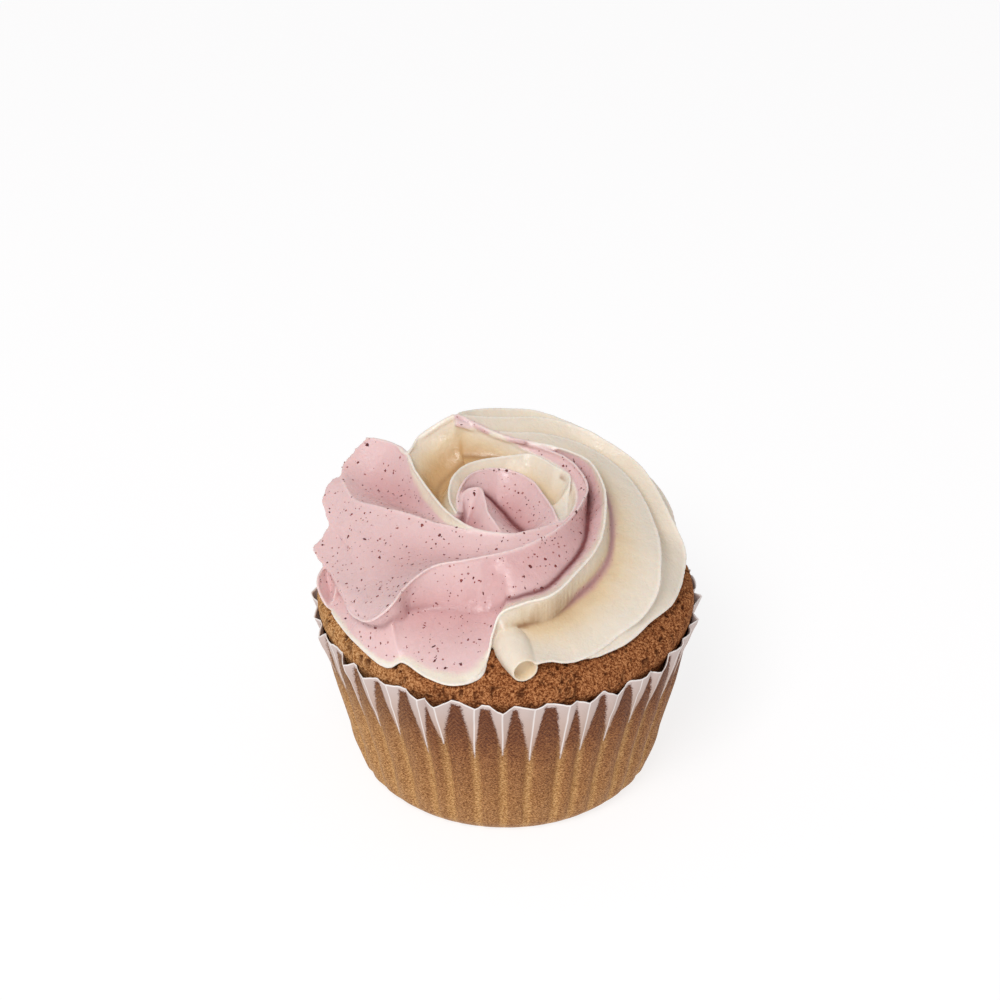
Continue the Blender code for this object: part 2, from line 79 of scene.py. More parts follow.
# Crest line of every piped fin, as stations along the way the nozzle travelled:
# (bearing in degrees, radius from the axis, height over the rim of the case).
FIN_WELL_RIM = [(138, 34, 18.5), (135, 28.5, 18.6), (137, 24, 18.8), (145, 19.5, 18.3), (161, 14, 18),
                (195, 9.8, 17.6), (228, 8, 17.1), (277, 7.4, 17), (327, 9, 17), (340, 10, 17)]
FIN_LEFT = [(152, 34, 14.5), (162, 28.5, 14), (168, 23.5, 15), (178, 17.5, 16), (199, 12.2, 16.7),
            (230, 8.3, 16.8), (277, 7.6, 16.8), (327, 9.2, 16.8), (345, 11, 17.2), (10, 12.7, 17.9),
            (35, 14.3, 18.5), (55, 15.6, 18.7), (72, 16.9, 18.9), (84, 17.9, 19.8), (90, 18.7, 20.7)]
FIN_UPPER = [(183, 31.7, 6.5), (191, 30.2, 5.5), (213, 31.5, 6.3), (224, 32, 9), (229, 30, 12),
             (228, 25, 14), (231, 20.6, 15.5), (246, 16.7, 16.6), (274, 13.8, 17.5), (308, 12.3, 18.3),
             (350, 12.8, 18.9), (14, 14.8, 19.3), (34, 16, 19.7), (50, 16.9, 20), (72, 17.6, 20.2),
             (90, 18.8, 20.8)]
FIN_FRONT = [(198, 32.6, 3), (216, 32.6, 2.6), (233, 33.1, 2), (236, 32, 3.2), (246, 33, 2.6),
             (255, 33.5, 2.5), (262, 31, 3), (263.5, 28.4, 5), (265, 26.2, 8.5), (268, 24.3, 11.5),
             (276, 23.4, 12.7), (289, 23.2, 13.6), (307, 20.6, 15), (330, 18.9, 16.5), (355, 17.6, 17.8),
             (20, 18.2, 18.8), (41, 19.2, 19.9), (60, 18.4, 20.4), (78, 17.9, 20.8), (90, 18.6, 21.2),
             (103, 20.7, 22.5), (112, 24, 23.8)]
FIN_CURL = [(278.7, 32.2, 6.5), (284, 31, 5.9), (289.5, 31, 5), (299, 30.4, 4.8), (312, 29.3, 6),
            (323, 29.6, 7), (334, 29.3, 8.8), (346, 27.9, 11), (5, 26.5, 12.5), (20, 26.3, 13.6),
            (37, 26.8, 14.8), (51, 26.8, 16.3), (65, 25.4, 18), (75, 23.4, 19.4), (88, 21.4, 20.3),
            (101, 20.9, 21.6), (114, 22.6, 23.4)]
FIN_RIGHT = [(298, 30.8, 4.1), (313, 30.4, 4.3), (326, 30, 4.9), (339, 30.9, 4.7), (357, 31.6, 5.5),
             (4, 31.9, 7), (14, 30.8, 10.3), (28, 30.8, 12.6), (41, 31.2, 14.7), (56, 30.5, 16.9),
             (66, 29.8, 18.4), (76, 28.3, 19.8), (88, 25.6, 21), (100, 24.1, 22.2), (112, 24, 23.6)]
FIN_BACK_1 = [(6, 31.6, 4.5), (28, 33, 9.5), (42, 32.9, 12.3), (56, 32.3, 15.2), (68, 31.3, 17.7),
              (79, 30.4, 19.7), (90, 28.8, 20.9), (101, 26.8, 22.2), (111, 24.6, 23.6)]
FIN_BACK_2 = [(46, 32, 4.5), (60, 33, 8), (74, 32.6, 12), (88, 31, 15.8), (99, 28.5, 19.2), (110, 25, 23)]
FIN_BACK_3 = [(80, 32, 4.5), (91, 32, 9.5), (101, 30.2, 14.8), (109, 27.2, 19.6), (112.5, 24.8, 23)]
FIN_BACK_4 = [(112, 32, 5), (118, 31.2, 11), (119, 28.8, 16), (117, 26.4, 20.2), (113.5, 24.5, 23)]
PEAK_RIDGE = [(138, 34, 18.5), (135, 28.5, 18.6), (137, 24.2, 18.8), (128, 25.4, 20), (118, 24.8, 22.2),
              (112.5, 24.2, 23.7)]
WELL_EDGE = [(340, 10, 17), (352, 11.4, 17.4), (10, 12.7, 17.9), (35, 14.3, 18.5), (55, 15.6, 18.7),
             (72, 16.9, 18.9), (84, 17.9, 19.8), (90, 18.6, 21.2), (103, 20.7, 22.5), (112, 24, 23.8),
             (118, 24.8, 22.2), (128, 25.2, 20), (137, 24, 18.8), (145, 19.5, 18.3), (161, 14, 18),
             (195, 9.8, 17.6)]
PETAL_OUTER = [(339, 9.9, 16.9), (0, 10.6, 16.6), (18, 11.4, 17.2), (26, 12.6, 18.8), (38, 14.3, 19.2),
               (50, 14, 19.4), (62, 14.9, 19.5), (74, 15.7, 19.5), (84, 14.8, 19.4), (96, 14.4, 19.3),
               (109, 14.3, 19.2), (122, 14, 19.1), (134, 13.2, 18.7), (149, 11.6, 18), (170, 9.8, 17.5),
               (192, 8.7, 17.2)]
PETAL_INNER = [(338, 9.8, 17.2), (358, 8.1, 17.7), (34, 7.7, 18), (58, 8.9, 18.3), (80, 10.4, 18.6),
               (93, 11.2, 18.8), (109, 11.4, 19), (124, 11.1, 19), (144, 9.6, 18.8), (163, 8.9, 17.6),
               (185, 8.2, 16.6)]
HEART = [(265, 5.2, 15.2), (245, 3.6, 16), (190, 3.2, 17), (150, 4.2, 17.9), (138, 5.4, 18.5),
         (132, 6.8, 18.6), (143, 8.4, 18.2), (165, 8.4, 17)]

ROLL_INNER = [(182.5, 32.0, 6.7), (187, 31.0, 6.1), (191, 30.6, 5.6), (195, 31.2, 4.6), (198, 32.4, 3.4)]
ROLL_OUTER = [(183, 32.4, 6.5), (188.5, 33.5, 6.2), (192.5, 33.7, 5.4), (196.5, 33.3, 4.3),
              (198.5, 32.7, 3.3)]

# Axis of the rolled-up end of the front sheet, in the same stations, and its radius at each.
CURL_AXIS = [(272, 24.5, 5.3), (273, 26.5, 5.4), (274, 28.5, 5.4), (275, 30.4, 5.2), (276, 32.2, 5)]
CURL_RADIUS = [3.4, 3.3, 3.05, 2.7, 2.35]

# Skin between two crests: matched stations, depth of the valley at each and where it lies.
SKINS = {
    "left_roll": dict(
        a=ROLL_INNER, b=ROLL_OUTER, corner=8, pa=0.8, pb=0.7,
        match=[(0, 0), (1, 1), (2, 2), (3, 3), (4, 4)],
        depth=[0.3, 2.6, 3.4, 2.6, 0.3], at=0.5),
    "left_shoulder": dict(
        a=FIN_WELL_RIM, b=FIN_LEFT, corner=4, pa=1.0, pb=1.0,
        match=[(0, 0), (1, 1), (2, 2), (3, 3), (4, 3.7), (5, 4.3), (6, 5), (7, 6)],
        depth=[0.3, 3.2, 3.6, 3.0, 1.8, 0.9, 0.2, 0], at=0.6,
        lobes=[(0, 0), (0.35, 0.8), (0.7, 1.2), (1, 0)], reach=0.8),
    "top_band": dict(
        a=FIN_LEFT, b=FIN_UPPER, corner=4, pa=0.9, pb=0.9,
        match=[(0, 0), (1, 2), (2, 3.6), (3, 5), (4, 6), (5, 7), (6, 8), (7, 9), (8, 10), (9, 11), (10, 12),
               (11, 13), (12, 14), (14, 15)],
        depth=[0.2, 1.2, 2.2, 2.8, 2.8, 2.2, 1.7, 1.3, 1, 0.8, 0.6, 0.4, 0.2, 0], at=0.5,
        lobes=[(0, 0), (0.07, 1.6), (0.17, 2.5), (0.3, 2.9), (0.42, 2.0), (0.54, 0.9), (0.66, 1.7),
               (0.8, 3.2), (0.9, 2.2), (1, 0)], reach=1.1),
    "front_petal": dict(
        a=FIN_UPPER, b=FIN_FRONT, corner=12, pa=0.9, pb=1.0,
        match=[(0, 0), (1, 0.6), (2, 1), (3, 2), (4, 2.7), (5, 3.3), (6, 4), (7, 5.2), (7.4, 6.6),
               (7.7, 8.4),
               (8, 10), (9, 12), (10, 13.8), (11, 14.8), (12, 15.8), (13, 16.6), (14, 17.8), (15, 19)],
        depth=[1.5, 1.2, 1.0, 2, 2.8, 3.4, 3.6, 3.6, 3.2, 2.8, 2.2, 1.8, 3.2, 4.0, 4.2, 3.2, 1.8, 0.2],
        at=[0.4, 0.3, 0.2, 0.22, 0.25, 0.3, 0.33, 0.36, 0.45, 0.6, 0.75, 0.72, 0.5, 0.36, 0.24, 0.22,
            0.3, 0.4]),
    "right_sweep": dict(
        a=FIN_FRONT, b=FIN_CURL, corner=12, pa=0.95, pb=1.15,
        match=[(8.8, 0), (9.2, 0.5), (9.7, 1.2), (10.4, 2.2), (11.2, 3.3), (12, 4.5), (13, 6.1),
               (14, 7.5), (15, 9),
               (16, 10.3), (17, 11.6), (18, 13.2), (19, 14.1), (20, 15.1), (21, 16)],
        depth=[2.6, 2.8, 3.0, 3.2, 3.4, 3.2, 3.0, 2.8, 2.6, 2.4, 2, 1.5, 1.1, 0.7, 0.1], at=0.27),
    "right_flank": dict(
        a=FIN_CURL, b=FIN_RIGHT, corner=4, pa=0.9, pb=1.0,
        match=[(2.2, 0), (4, 1), (5, 2), (6, 3), (7, 4), (8, 5), (8.7, 6), (9.5, 7), (10.3, 8), (11.4, 9),
               (12.1, 10), (13.1, 11), (14.1, 12), (15, 13), (16, 14)],
        depth=[0.1, 0.3, 0.6, 1, 1.3, 1.5, 1.6, 1.6, 1.6, 1.6, 1.5, 1.4, 1.2, 0.8, 0.1], at=0.35),
    "back_1": dict(
        a=FIN_RIGHT, b=FIN_BACK_1, corner=4, pa=0.9, pb=1.0,
        match=[(4.6, 0), (7, 1), (8, 2), (9, 3), (10.2, 4), (11.2, 5), (12.1, 6), (13, 7), (14, 8)],
        depth=[0.3, 0.8, 0.8, 0.9, 1.1, 1.3, 1.2, 0.8, 0.1], at=0.4),
    "back_2": dict(
        a=FIN_BACK_1, b=FIN_BACK_2, corner=5, pa=0.9, pb=1.0,
        match=[(0, 0), (2, 1), (3.5, 2), (5, 3), (6.5, 4), (8, 5)],
        depth=[1.5, 2.2, 2.4, 2.2, 1.5, 0.2], at=0.35),
    "back_3": dict(
        a=FIN_BACK_2, b=FIN_BACK_3, corner=5, pa=0.9, pb=1.0,
        match=[(0, 0), (1.5, 1), (3, 2), (4, 3), (5, 4)],
        depth=[1.5, 2.2, 2.2, 1.5, 0.2], at=0.35),
    "back_4": dict(
        a=FIN_BACK_3, b=FIN_BACK_4, corner=5, pa=0.9, pb=1.0,
        match=[(0, 0), (1, 1), (2, 2), (3, 3), (4, 4)],
        depth=[1.5, 2.2, 2.2, 1.5, 0.2], at=0.4),
    "back_left": dict(
        a=FIN_BACK_4, b=PEAK_RIDGE, corner=5, pa=0.9, pb=1.0,
        match=[(0, 0), (1, 1), (2, 2), (3, 3.2), (4, 5)],
        depth=[2.5, 3, 2, 1, 0], at=0.4),
    "well_wall": dict(
        a=WELL_EDGE, b=PETAL_OUTER, corner=5, pa=0.9, pb=0.6,
        match=[(0, 0), (1, 1), (2, 2), (2.8, 4), (3.6, 5), (4.6, 6.5), (5.6, 7.5), (7, 9), (8, 10),
               (9, 10.9),
               (10, 11.3), (11, 11.7), (12, 12.2), (13, 13), (14, 14), (15, 15)],
        depth=[0.1, 0.5, 0.8, 1.2, 1.8, 2.2, 2.6, 3.2, 3.8, 4.5, 5, 5.2, 5, 4, 2.5, 0.3], at=0.6),
    "petal_outer": dict(
        a=PETAL_OUTER, b=PETAL_INNER, corner=6, pa=1.0, pb=0.7,
        match=[(0, 0), (1, 0.4), (2, 0.7), (3, 1.2), (5, 2), (6.5, 3), (8, 4), (9, 5), (10, 6), (11, 7),
               (12.5, 8), (14, 9), (15, 10)],
        depth=[0.1, 0.4, 1.2, 2.0, 2.6, 2.6, 2.4, 2.2, 2.0, 2, 1.8, 1, 0.3], at=0.75),
    "petal_inner": dict(
        a=PETAL_INNER, b=HEART, corner=16, pa=0.9, pb=1.1,
        match=[(0, 0), (1, 0.6), (2, 1.5), (3, 2.3), (4, 2.9), (5, 3.5), (6, 4.2), (7, 5), (8, 6), (9, 7)],
        depth=[1.5, 3.5, 4.4, 4.6, 4.2, 3.4, 2.6, 1.8, 1, 0.3], at=0.56),
    "hollow": dict(
        a=HEART, b=FIN_WELL_RIM, corner=6, pa=1.3, pb=0.5,
        match=[(0, 7.4), (1, 6.6), (2, 6), (3, 5.6), (4, 5.3), (5, 5.1), (7, 4.9)],
        depth=[1.5, 4, 5, 5, 4.5, 4, 1], at=0.7),
}

# Where a skin is berry pink: station along it, then the share of the way across where pink starts and ends.
PINK = {
    "left_shoulder": [(0, -1, 2), (1, -0.5, 2), (2, 0.05, 2), (3, 0.2, 2), (4, 0.4, 2), (5, 0.7, 2),
                      (6, 1.0, 2), (7, 1.3, 2)],
    "top_band": [(0, -1, 2), (13, -1, 2)],
    "left_roll": [(0, -1, 2), (4, -1, 2)],
    "front_petal": [(0, -1, 0.9), (6, -1, 0.93), (9, -1, 0.92), (12, -1, 0.9), (17, -1, 0.94)],
    "right_sweep": [(10.5, -0.3, -0.2), (11.5, -1, 0.5), (13, -1, 1.2), (14, -1, 2)],
    "right_flank": [(12.2, -0.3, -0.2), (12.9, -1, 0.55), (14, -1, 0.8)],
    "petal_inner": [(0, -1, 2), (9, -1, 2)],
    "petal_outer": [(0, 0.9, 2), (12, 0.9, 2)],
    "hollow": [(0, -1, 2), (6, -1, 2)],
}
# Where a cream valley is pink along its bottom, in the same way.
VALLEY_PINK = {
    "right_sweep": [(3, 0.27, 0.27), (4.5, 0.22, 0.32), (8, 0.21, 0.34), (11, 0.23, 0.31),
                    (13, 0.27, 0.27)],
}

# Where a steep wall gets the same painted valley shade as a valley, in the same way.
SHADE = {
    "front_petal": [(7.5, 0.03, 0.03), (9, 0.03, 0.5), (11, 0.03, 0.6), (13, 0.03, 0.4), (16, 0.03, 0.26)],
}

# How dark the painted shade along the bottom line of a valley is, along its stations.
CREASE = {
    "right_sweep": [(0, 0.5), (1, 1.0), (4, 0.9), (6, 0.5), (12, 0.6), (14, 0.2)],
    "front_petal": [(0, 0.3), (3, 0.6), (8, 0.15), (9.5, 0.8), (11, 1.3), (15, 1.3), (17, 0.5)],
    "petal_inner": [(0, 1.3), (3, 1.6), (7, 1.2), (9, 0.6)],
    "well_wall": [(0, 0.6), (15, 0.5)],
    "hollow": [(0, 1), (6, 0.8)],
    "left_roll": [(0, 0.8), (4, 0.8)],
    "petal_outer": [(0, 0.4), (4, 0.2), (12, 0.3)],
}


def linear(code):
    """An sRGB hex colour as linear RGBA."""
    srgb = np.array([int(code[i:i + 2], 16) for i in (1, 3, 5)]) / 255
    return (*np.where(srgb <= 0.04045, srgb / 12.92, ((srgb + 0.055) / 1.055) ** 2.4).tolist(), 1.0)


def add(tree, kind, settings=None, links=None):
    """Add one shader node; settings name its properties, inputs or ramp stops, links join its inputs."""
    made = tree.nodes.new("ShaderNode" + kind)
    for key, value in (settings or {}).items():
        if key == "stops":
            ramp = made.color_ramp.elements
            for index, (place, color) in enumerate(value):
                stop = ramp[index] if index < 2 else ramp.new(place)
                stop.position, stop.color = place, color
        elif isinstance(key, int) or key in made.inputs:
            made.inputs[key].default_value = value
        else:
            setattr(made, key, value)
    for key, output in (links or {}).items():
        tree.links.new(output, made.inputs[key])
    return made


def calc(tree, operation, links, values=None):
    """Math node: one operation on linked inputs and fixed values."""
    return add(tree, "Math", {"operation": operation, **(values or {})}, links)


def blend(tree, colours, links):
    """Colour mix node: fixed colours, and links for the share and the other colours."""
    return add(tree, "Mix", {"data_type": "RGBA", **colours}, links)


def surface(name, verts, faces, mat, tones=None):
    """Smooth mesh object from points in millimetres and faces, with an optional tone per point."""
    mesh = bpy.data.meshes.new(name)
    faces = faces if isinstance(faces, list) else faces.tolist()
    mesh.from_pydata((np.asarray(verts) * MM).tolist(), [], faces)
    mesh.update()
    mesh.shade_smooth()
    if tones is not None:
        layer = mesh.color_attributes.new("tone", "FLOAT_COLOR", "POINT")
        layer.data.foreach_set("color", np.asarray(tones, np.float32).ravel())
    if mat:
        mesh.materials.append(mat)
    ob = bpy.data.objects.new(name, mesh)
    bpy.context.scene.collection.objects.link(ob)
    return ob


def smoothstep(low, high, value):
    """0 below low, 1 above high, with a smooth cubic between."""
    f = np.clip((value - low) / (high - low), 0, 1)
    return f * f * (3 - 2 * f)


LATTICE = np.random.default_rng(7).random((32, 32, 32))


def noise(points, size, seed=0):
    """Smooth value noise from -1 to 1: random values on a lattice of that size in mm, eased between."""
    p = np.asarray(points, float) / size + seed * 7.31
    low = np.floor(p).astype(int)
    f = p - low
    f = f * f * (3 - 2 * f)
    total = np.zeros(p.shape[:-1])
    for dx in (0, 1):
        for dy in (0, 1):
            for dz in (0, 1):
                share = np.abs(1 - dx - f[..., 0]) * np.abs(1 - dy - f[..., 1]) * np.abs(1 - dz - f[..., 2])
                index = (low + (dx, dy, dz)) % 32
                total += share * LATTICE[index[..., 0], index[..., 1], index[..., 2]]
    return total * 2 - 1


def polar(stations):
    """Stations of bearing, radius and height as XYZ points."""
    s = np.array(stations, float)
    a = np.radians(s[:, 0])
    return np.stack([s[:, 1] * np.cos(a), s[:, 1] * np.sin(a), s[:, 2]], -1)


def hermite(p0, p1, m0, m1, u):
    """Cubic from p0 to p1 with end slopes m0 and m1."""
    return ((2 * u**3 - 3 * u**2 + 1) * p0 + (u**3 - 2 * u**2 + u) * m0
            + (3 * u**2 - 2 * u**3) * p1 + (u**3 - u**2) * m1)


def spline(points, t):
    """Smooth curve through points, slopes weighted by the gaps between them; t counts stations from 0."""
    gaps = np.linalg.norm(np.diff(points, axis=0), axis=1) ** 0.6
    slope = np.diff(points, axis=0) / gaps[:, None]
    tangent = np.empty_like(points)
    before, after = gaps[:-1, None], gaps[1:, None]
    tangent[1:-1] = (slope[:-1] * after + slope[1:] * before) / (before + after)
    tangent[0], tangent[-1] = slope[0], slope[-1]
    t = np.clip(np.asarray(t, float), 0, len(points) - 1)
    i = np.minimum(t.astype(int), len(points) - 2)
    u = (t - i)[:, None]
    h = gaps[i][:, None]
    return hermite(points[i], points[i + 1], tangent[i] * h, tangent[i + 1] * h, u)


def ease(values, n):
    """Values at n even places along a list of key values, monotone cubic, without overshoot."""
    values = np.asarray(values, float)
    step = np.diff(values)
    limit = 2 * np.minimum(np.abs(step[:-1]), np.abs(step[1:])) * (step[:-1] * step[1:] > 0)
    middle = 0.5 * (step[:-1] + step[1:])
    tangent = np.concatenate([step[:1], np.sign(middle) * np.minimum(np.abs(middle), limit), step[-1:]])
    u = np.linspace(0, len(values) - 1, n)
    i = np.minimum(u.astype(int), len(values) - 2)
    return hermite(values[i], values[i + 1], tangent[i], tangent[i + 1], u - i)


def crown(radius):
    """Height of the sponge over the rim of the case: h (1 - (r / R)^3)^0.9."""
    inside = np.clip(1 - (radius / (CASE_RIM_RADIUS + 0.6)) ** CROWN_POWER, 0, 1)
    return CROWN_HEIGHT * inside ** CROWN_SHOULDER


def skin(a, b, match, depth, at, corner, pa, pb, lobes=None, reach=1.0):
    """Surface from crest a to crest b: the chord between matched stations, sagging along its normal by
    depth x softmin(fall, rise), where fall = (x / at)^pa and rise = ((1 - x) / (1 - at))^pb.
    Returns the grid of points, the station along and share across of each, how deep it sags and
    how near it is to the bottom line of the valley."""
    crest_a, crest_b = polar(a), polar(b)
    match = np.array(match, float)
    probe = np.linspace(0, len(match) - 1, 200)
    walk = spline(crest_b, np.interp(probe, np.arange(len(match)), match[:, 1]))
    length = np.linalg.norm(np.diff(walk, axis=0), axis=1).sum()
    n = max(8, int(length / STEP_ALONG))
    start = spline(crest_a, ease(match[:, 0], n))
    end = spline(crest_b, ease(match[:, 1], n))
    across = np.linspace(0, 1, ROWS_ACROSS)
    across = 0.5 * across + 0.25 * (1 - np.cos(np.pi * across))
    chord = end - start
    along = np.gradient(0.5 * (start + end), axis=0)
    normal = np.cross(along, chord)
    normal /= np.linalg.norm(normal, axis=1)[:, None] + 1e-9
    normal *= np.where(normal[:, 2:3] < 0, -1.0, 1.0)
    place = ease(at, n) if np.ndim(at) else np.full(n, at)
    fall = (across[None] / place[:, None]) ** pa
    rise = ((1 - across[None]) / (1 - place[:, None])) ** pb
    sag = -np.log(np.exp(-corner * fall) + np.exp(-corner * rise)) / corner
    sag += np.log(2) / corner * np.minimum(1, 1.5 * np.minimum(fall, rise))
    sag = np.maximum(sag, 0)
    sag[:, 0] = 0
    sag[:, -1] = 0
    sag *= ease(depth, n)[:, None]
    grid = start[:, None] + across[None, :, None] * chord[:, None]
    grid -= sag[..., None] * normal[:, None]
    station = np.linspace(0, len(match) - 1, n)
    if lobes:
        keys = np.array(lobes, float)
        i = np.clip(np.searchsorted(keys[:, 0], across) - 1, 0, len(keys) - 2)
        f = (across - keys[i, 0]) / (keys[i + 1, 0] - keys[i, 0])
        f = f * f * (3 - 2 * f)
        bulge = keys[i, 1] * (1 - f) + keys[i + 1, 1] * f
        fade = np.exp(-(station / reach) ** 2)
        out = grid * [1, 1, 0]
        out /= np.linalg.norm(out, axis=-1)[..., None] + 1e-9
        grid += out * (fade[:, None] * bulge[None])[..., None]
    floor = crown(np.hypot(grid[..., 0], grid[..., 1])) + SEAT_GAP + LAYER
    grid[..., 2] = np.maximum(grid[..., 2], floor)
    off = (across[None] - place[:, None]) * np.linalg.norm(chord, axis=1)[:, None]
    crease = np.exp(-(off / 0.5) ** 2) * np.clip(sag / 1.5, 0, 1)
    return grid, station, across, sag, crease


def band(table, station, across, soft):
    """1 between the low and high share of a table of (station, low, high), 0 outside, with soft edges."""
    keys = np.array(table, float)
    low = np.interp(station, keys[:, 0], keys[:, 1], left=9, right=9)[:, None]
    high = np.interp(station, keys[:, 0], keys[:, 2], left=-9, right=-9)[:, None]
    return (smoothstep(low - soft, low + soft, across[None])
            * (1 - smoothstep(high - soft, high + soft, across[None])))


def tone(name, grid, station, across, sag, crease):
    """Red is how pink a point is, green how near a crest, blue how deep in a valley, alpha how near
    the bottom line of a sharp valley. The material paints green as a highlight, blue as valley shade
    and alpha as a dark crease shade."""
    pink = band(PINK[name], station, across, 0.05) if name in PINK else np.zeros_like(sag)
    if name in VALLEY_PINK:
        pink = np.maximum(pink, 0.85 * band(VALLEY_PINK[name], station, across, 0.06))
    keys = np.array(CREASE.get(name, [(0, 0), (1, 0)]), float)
    crease = crease * np.interp(station, keys[:, 0], keys[:, 1])[:, None]
    step = np.linalg.norm(np.diff(grid, axis=1), axis=2)
    walked = np.concatenate([np.zeros((len(grid), 1)), np.cumsum(step, axis=1)], axis=1)
    edge = np.minimum(walked, walked[:, -1:] - walked)
    skirt = np.concatenate([[0], np.cumsum(np.linalg.norm(np.diff(grid.mean(1), axis=0), axis=1))])
    edge = np.minimum(edge, skirt[:, None])
    crest = np.exp(-(edge / 0.4) ** 2)
    # valley depth, and the steep walls listed in SHADE, drive the painted valley shade
    valley = np.clip(sag / 3.6, 0, 1) ** 1.8
    if name in SHADE:
        valley = np.maximum(valley, 0.7 * band(SHADE[name], station, across, 0.04))
    return np.stack([pink, crest, valley, np.minimum(crease, 1.2)], -1)


def strip_faces(n, m, start=0):
    """Quads of an n by m grid of points."""
    i = start + np.arange(n * m).reshape(n, m)
    return np.stack([i[:-1, :-1], i[1:, :-1], i[1:, 1:], i[:-1, 1:]], -1).reshape(-1, 4)


def block(grid):
    """Closed solid between a skin and its own points dropped to the underside, which follows the crown;
    near the edge the underside is drawn in, the more the higher the edge stands."""
    n, m = grid.shape[:2]
    radius = np.hypot(grid[..., 0], grid[..., 1])
    lift = grid[..., 2] - crown(radius) - SEAT_GAP
    undercut = np.clip(0.4 + 0.6 * lift, 0.9, 1.2 + 0.32 * lift) * smoothstep(23, 31, radius)
    kept = radius - undercut
    low = grid * (kept / (radius + 1e-9))[..., None]
    low[..., 2] = crown(kept) + SEAT_GAP
    verts = np.concatenate([grid.reshape(-1, 3), low.reshape(-1, 3)])
    top = np.arange(n * m).reshape(n, m)
    low = top + n * m
    quads = [strip_faces(n, m), strip_faces(n, m, n * m)[:, ::-1]]
    for side in ((slice(None), 0), (slice(None), -1), (0, slice(None)), (-1, slice(None))):
        up, down = top[side], low[side]
        quads.append(np.stack([up[:-1], up[1:], down[1:], down[:-1]], -1))
    return verts, np.concatenate(quads)


def core_block():
    """Solid disc under the well, so that nothing inside is hollow."""
    a = np.linspace(0, 2 * np.pi, 49)[:, None]
    r = np.linspace(0, CORE_RADIUS, 12)[None]
    return block(np.stack([r * np.cos(a), r * np.sin(a), np.full((49, 12), CORE_HEIGHT)], -1))


def rod(path, radius, sides=10, along=None):
    """Closed rod: a circle of the given radius at each point of a path, square to it, closed at the ends."""
    along = np.gradient(path, axis=0) if along is None else along
    along = along / (np.linalg.norm(along, axis=1)[:, None] + 1e-9)
    side = np.cross(along, [0.0, 0.0, 1.0])
    side /= np.linalg.norm(side, axis=1)[:, None] + 1e-9
    up = np.cross(side, along)
    a = np.linspace(0, 2 * np.pi, sides, endpoint=False)
    radius = np.broadcast_to(radius, len(path))[:, None, None]
    ring = path[:, None] + radius * (np.cos(a)[None, :, None] * side[:, None]
                                     + np.sin(a)[None, :, None] * up[:, None])
    n = len(path)
    i = np.arange(n * sides).reshape(n, sides)
    j = np.roll(i, -1, axis=1)
    quads = np.stack([i[:-1], j[:-1], j[1:], i[1:]], -1).reshape(-1, 4)
    verts = np.concatenate([ring.reshape(-1, 3), path[:1], path[-1:]])
    first, last = n * sides, n * sides + 1
    caps = np.concatenate([np.stack([np.full(sides, first), j[0], i[0], i[0]], -1),
                           np.stack([np.full(sides, last), i[-1], j[-1], j[-1]], -1)])
    return verts, quads, caps[:, :3]


def curl():
    """Rolled end of the front sheet: a rod that widens along its axis, its end bored out to a thin lip."""
    path = spline(polar(CURL_AXIS), np.linspace(0, len(CURL_AXIS) - 1, 60))
    along = np.gradient(path, axis=0)
    along /= np.linalg.norm(along, axis=1)[:, None]
    end = CURL_RADIUS[-1]
    outside = np.interp(np.linspace(0, len(CURL_AXIS) - 1, 60), np.arange(len(CURL_AXIS)), CURL_RADIUS)
    bore = np.linspace(end - 0.38, end - 0.6, 8)
    steps = np.concatenate([[0.08, 0.1, 0.08], np.linspace(-0.2, -1.7, 8)])
    radius = np.concatenate([outside, [end - 0.1, end - 0.2, end - 0.32], bore])
    centre = np.concatenate([path, path[-1] + steps[:, None] * along[-1]])
    verts, *faces = rod(centre, radius, 40, np.concatenate([along, np.tile(along[-1], (len(steps), 1))]))
    verts[:, 2] = np.maximum(verts[:, 2], crown(np.hypot(verts[:, 0], verts[:, 1])) + SEAT_GAP)
    return verts, *faces


def applied(ob, kind, **settings):
    """Add one modifier and keep its result as the object's mesh."""
    mod = ob.modifiers.new(kind.title(), kind)
    for key, value in settings.items():
        setattr(mod, key, value)
    mesh = bpy.data.meshes.new_from_object(ob.evaluated_get(bpy.context.evaluated_depsgraph_get()))
    ob.modifiers.clear()
    old, ob.data = ob.data, mesh
    bpy.data.meshes.remove(old)


def joined(parts):
    """Several (points, faces...) as one list of points and one list of faces."""
    verts, faces, count = [], [], 0
    for points, *groups in parts:
        verts.append(points)
        for group in groups:
            faces += (group + count).tolist()
        count += len(points)
    return np.concatenate(verts), faces


def points_of(mesh):
    """Points of a mesh in millimetres."""
    co = np.empty(len(mesh.vertices) * 3, np.float32)
    mesh.vertices.foreach_get("co", co)
    return co.reshape(-1, 3).astype(float) / MM


def blurred(mesh, values, times):
    """Values per point, each replaced a few times by the mean of itself and its neighbours' mean."""
    edge = np.empty(len(mesh.edges) * 2, np.int32)
    mesh.edges.foreach_get("vertices", edge)
    one, two = edge.reshape(-1, 2).T
    count = np.bincount(edge, minlength=len(values))[:, None]
    for _ in range(times):
        near = np.stack([np.bincount(one, c[two], len(values)) + np.bincount(two, c[one], len(values))
                         for c in values.T], -1)
        values = 0.5 * values + 0.5 * near / count
    return values


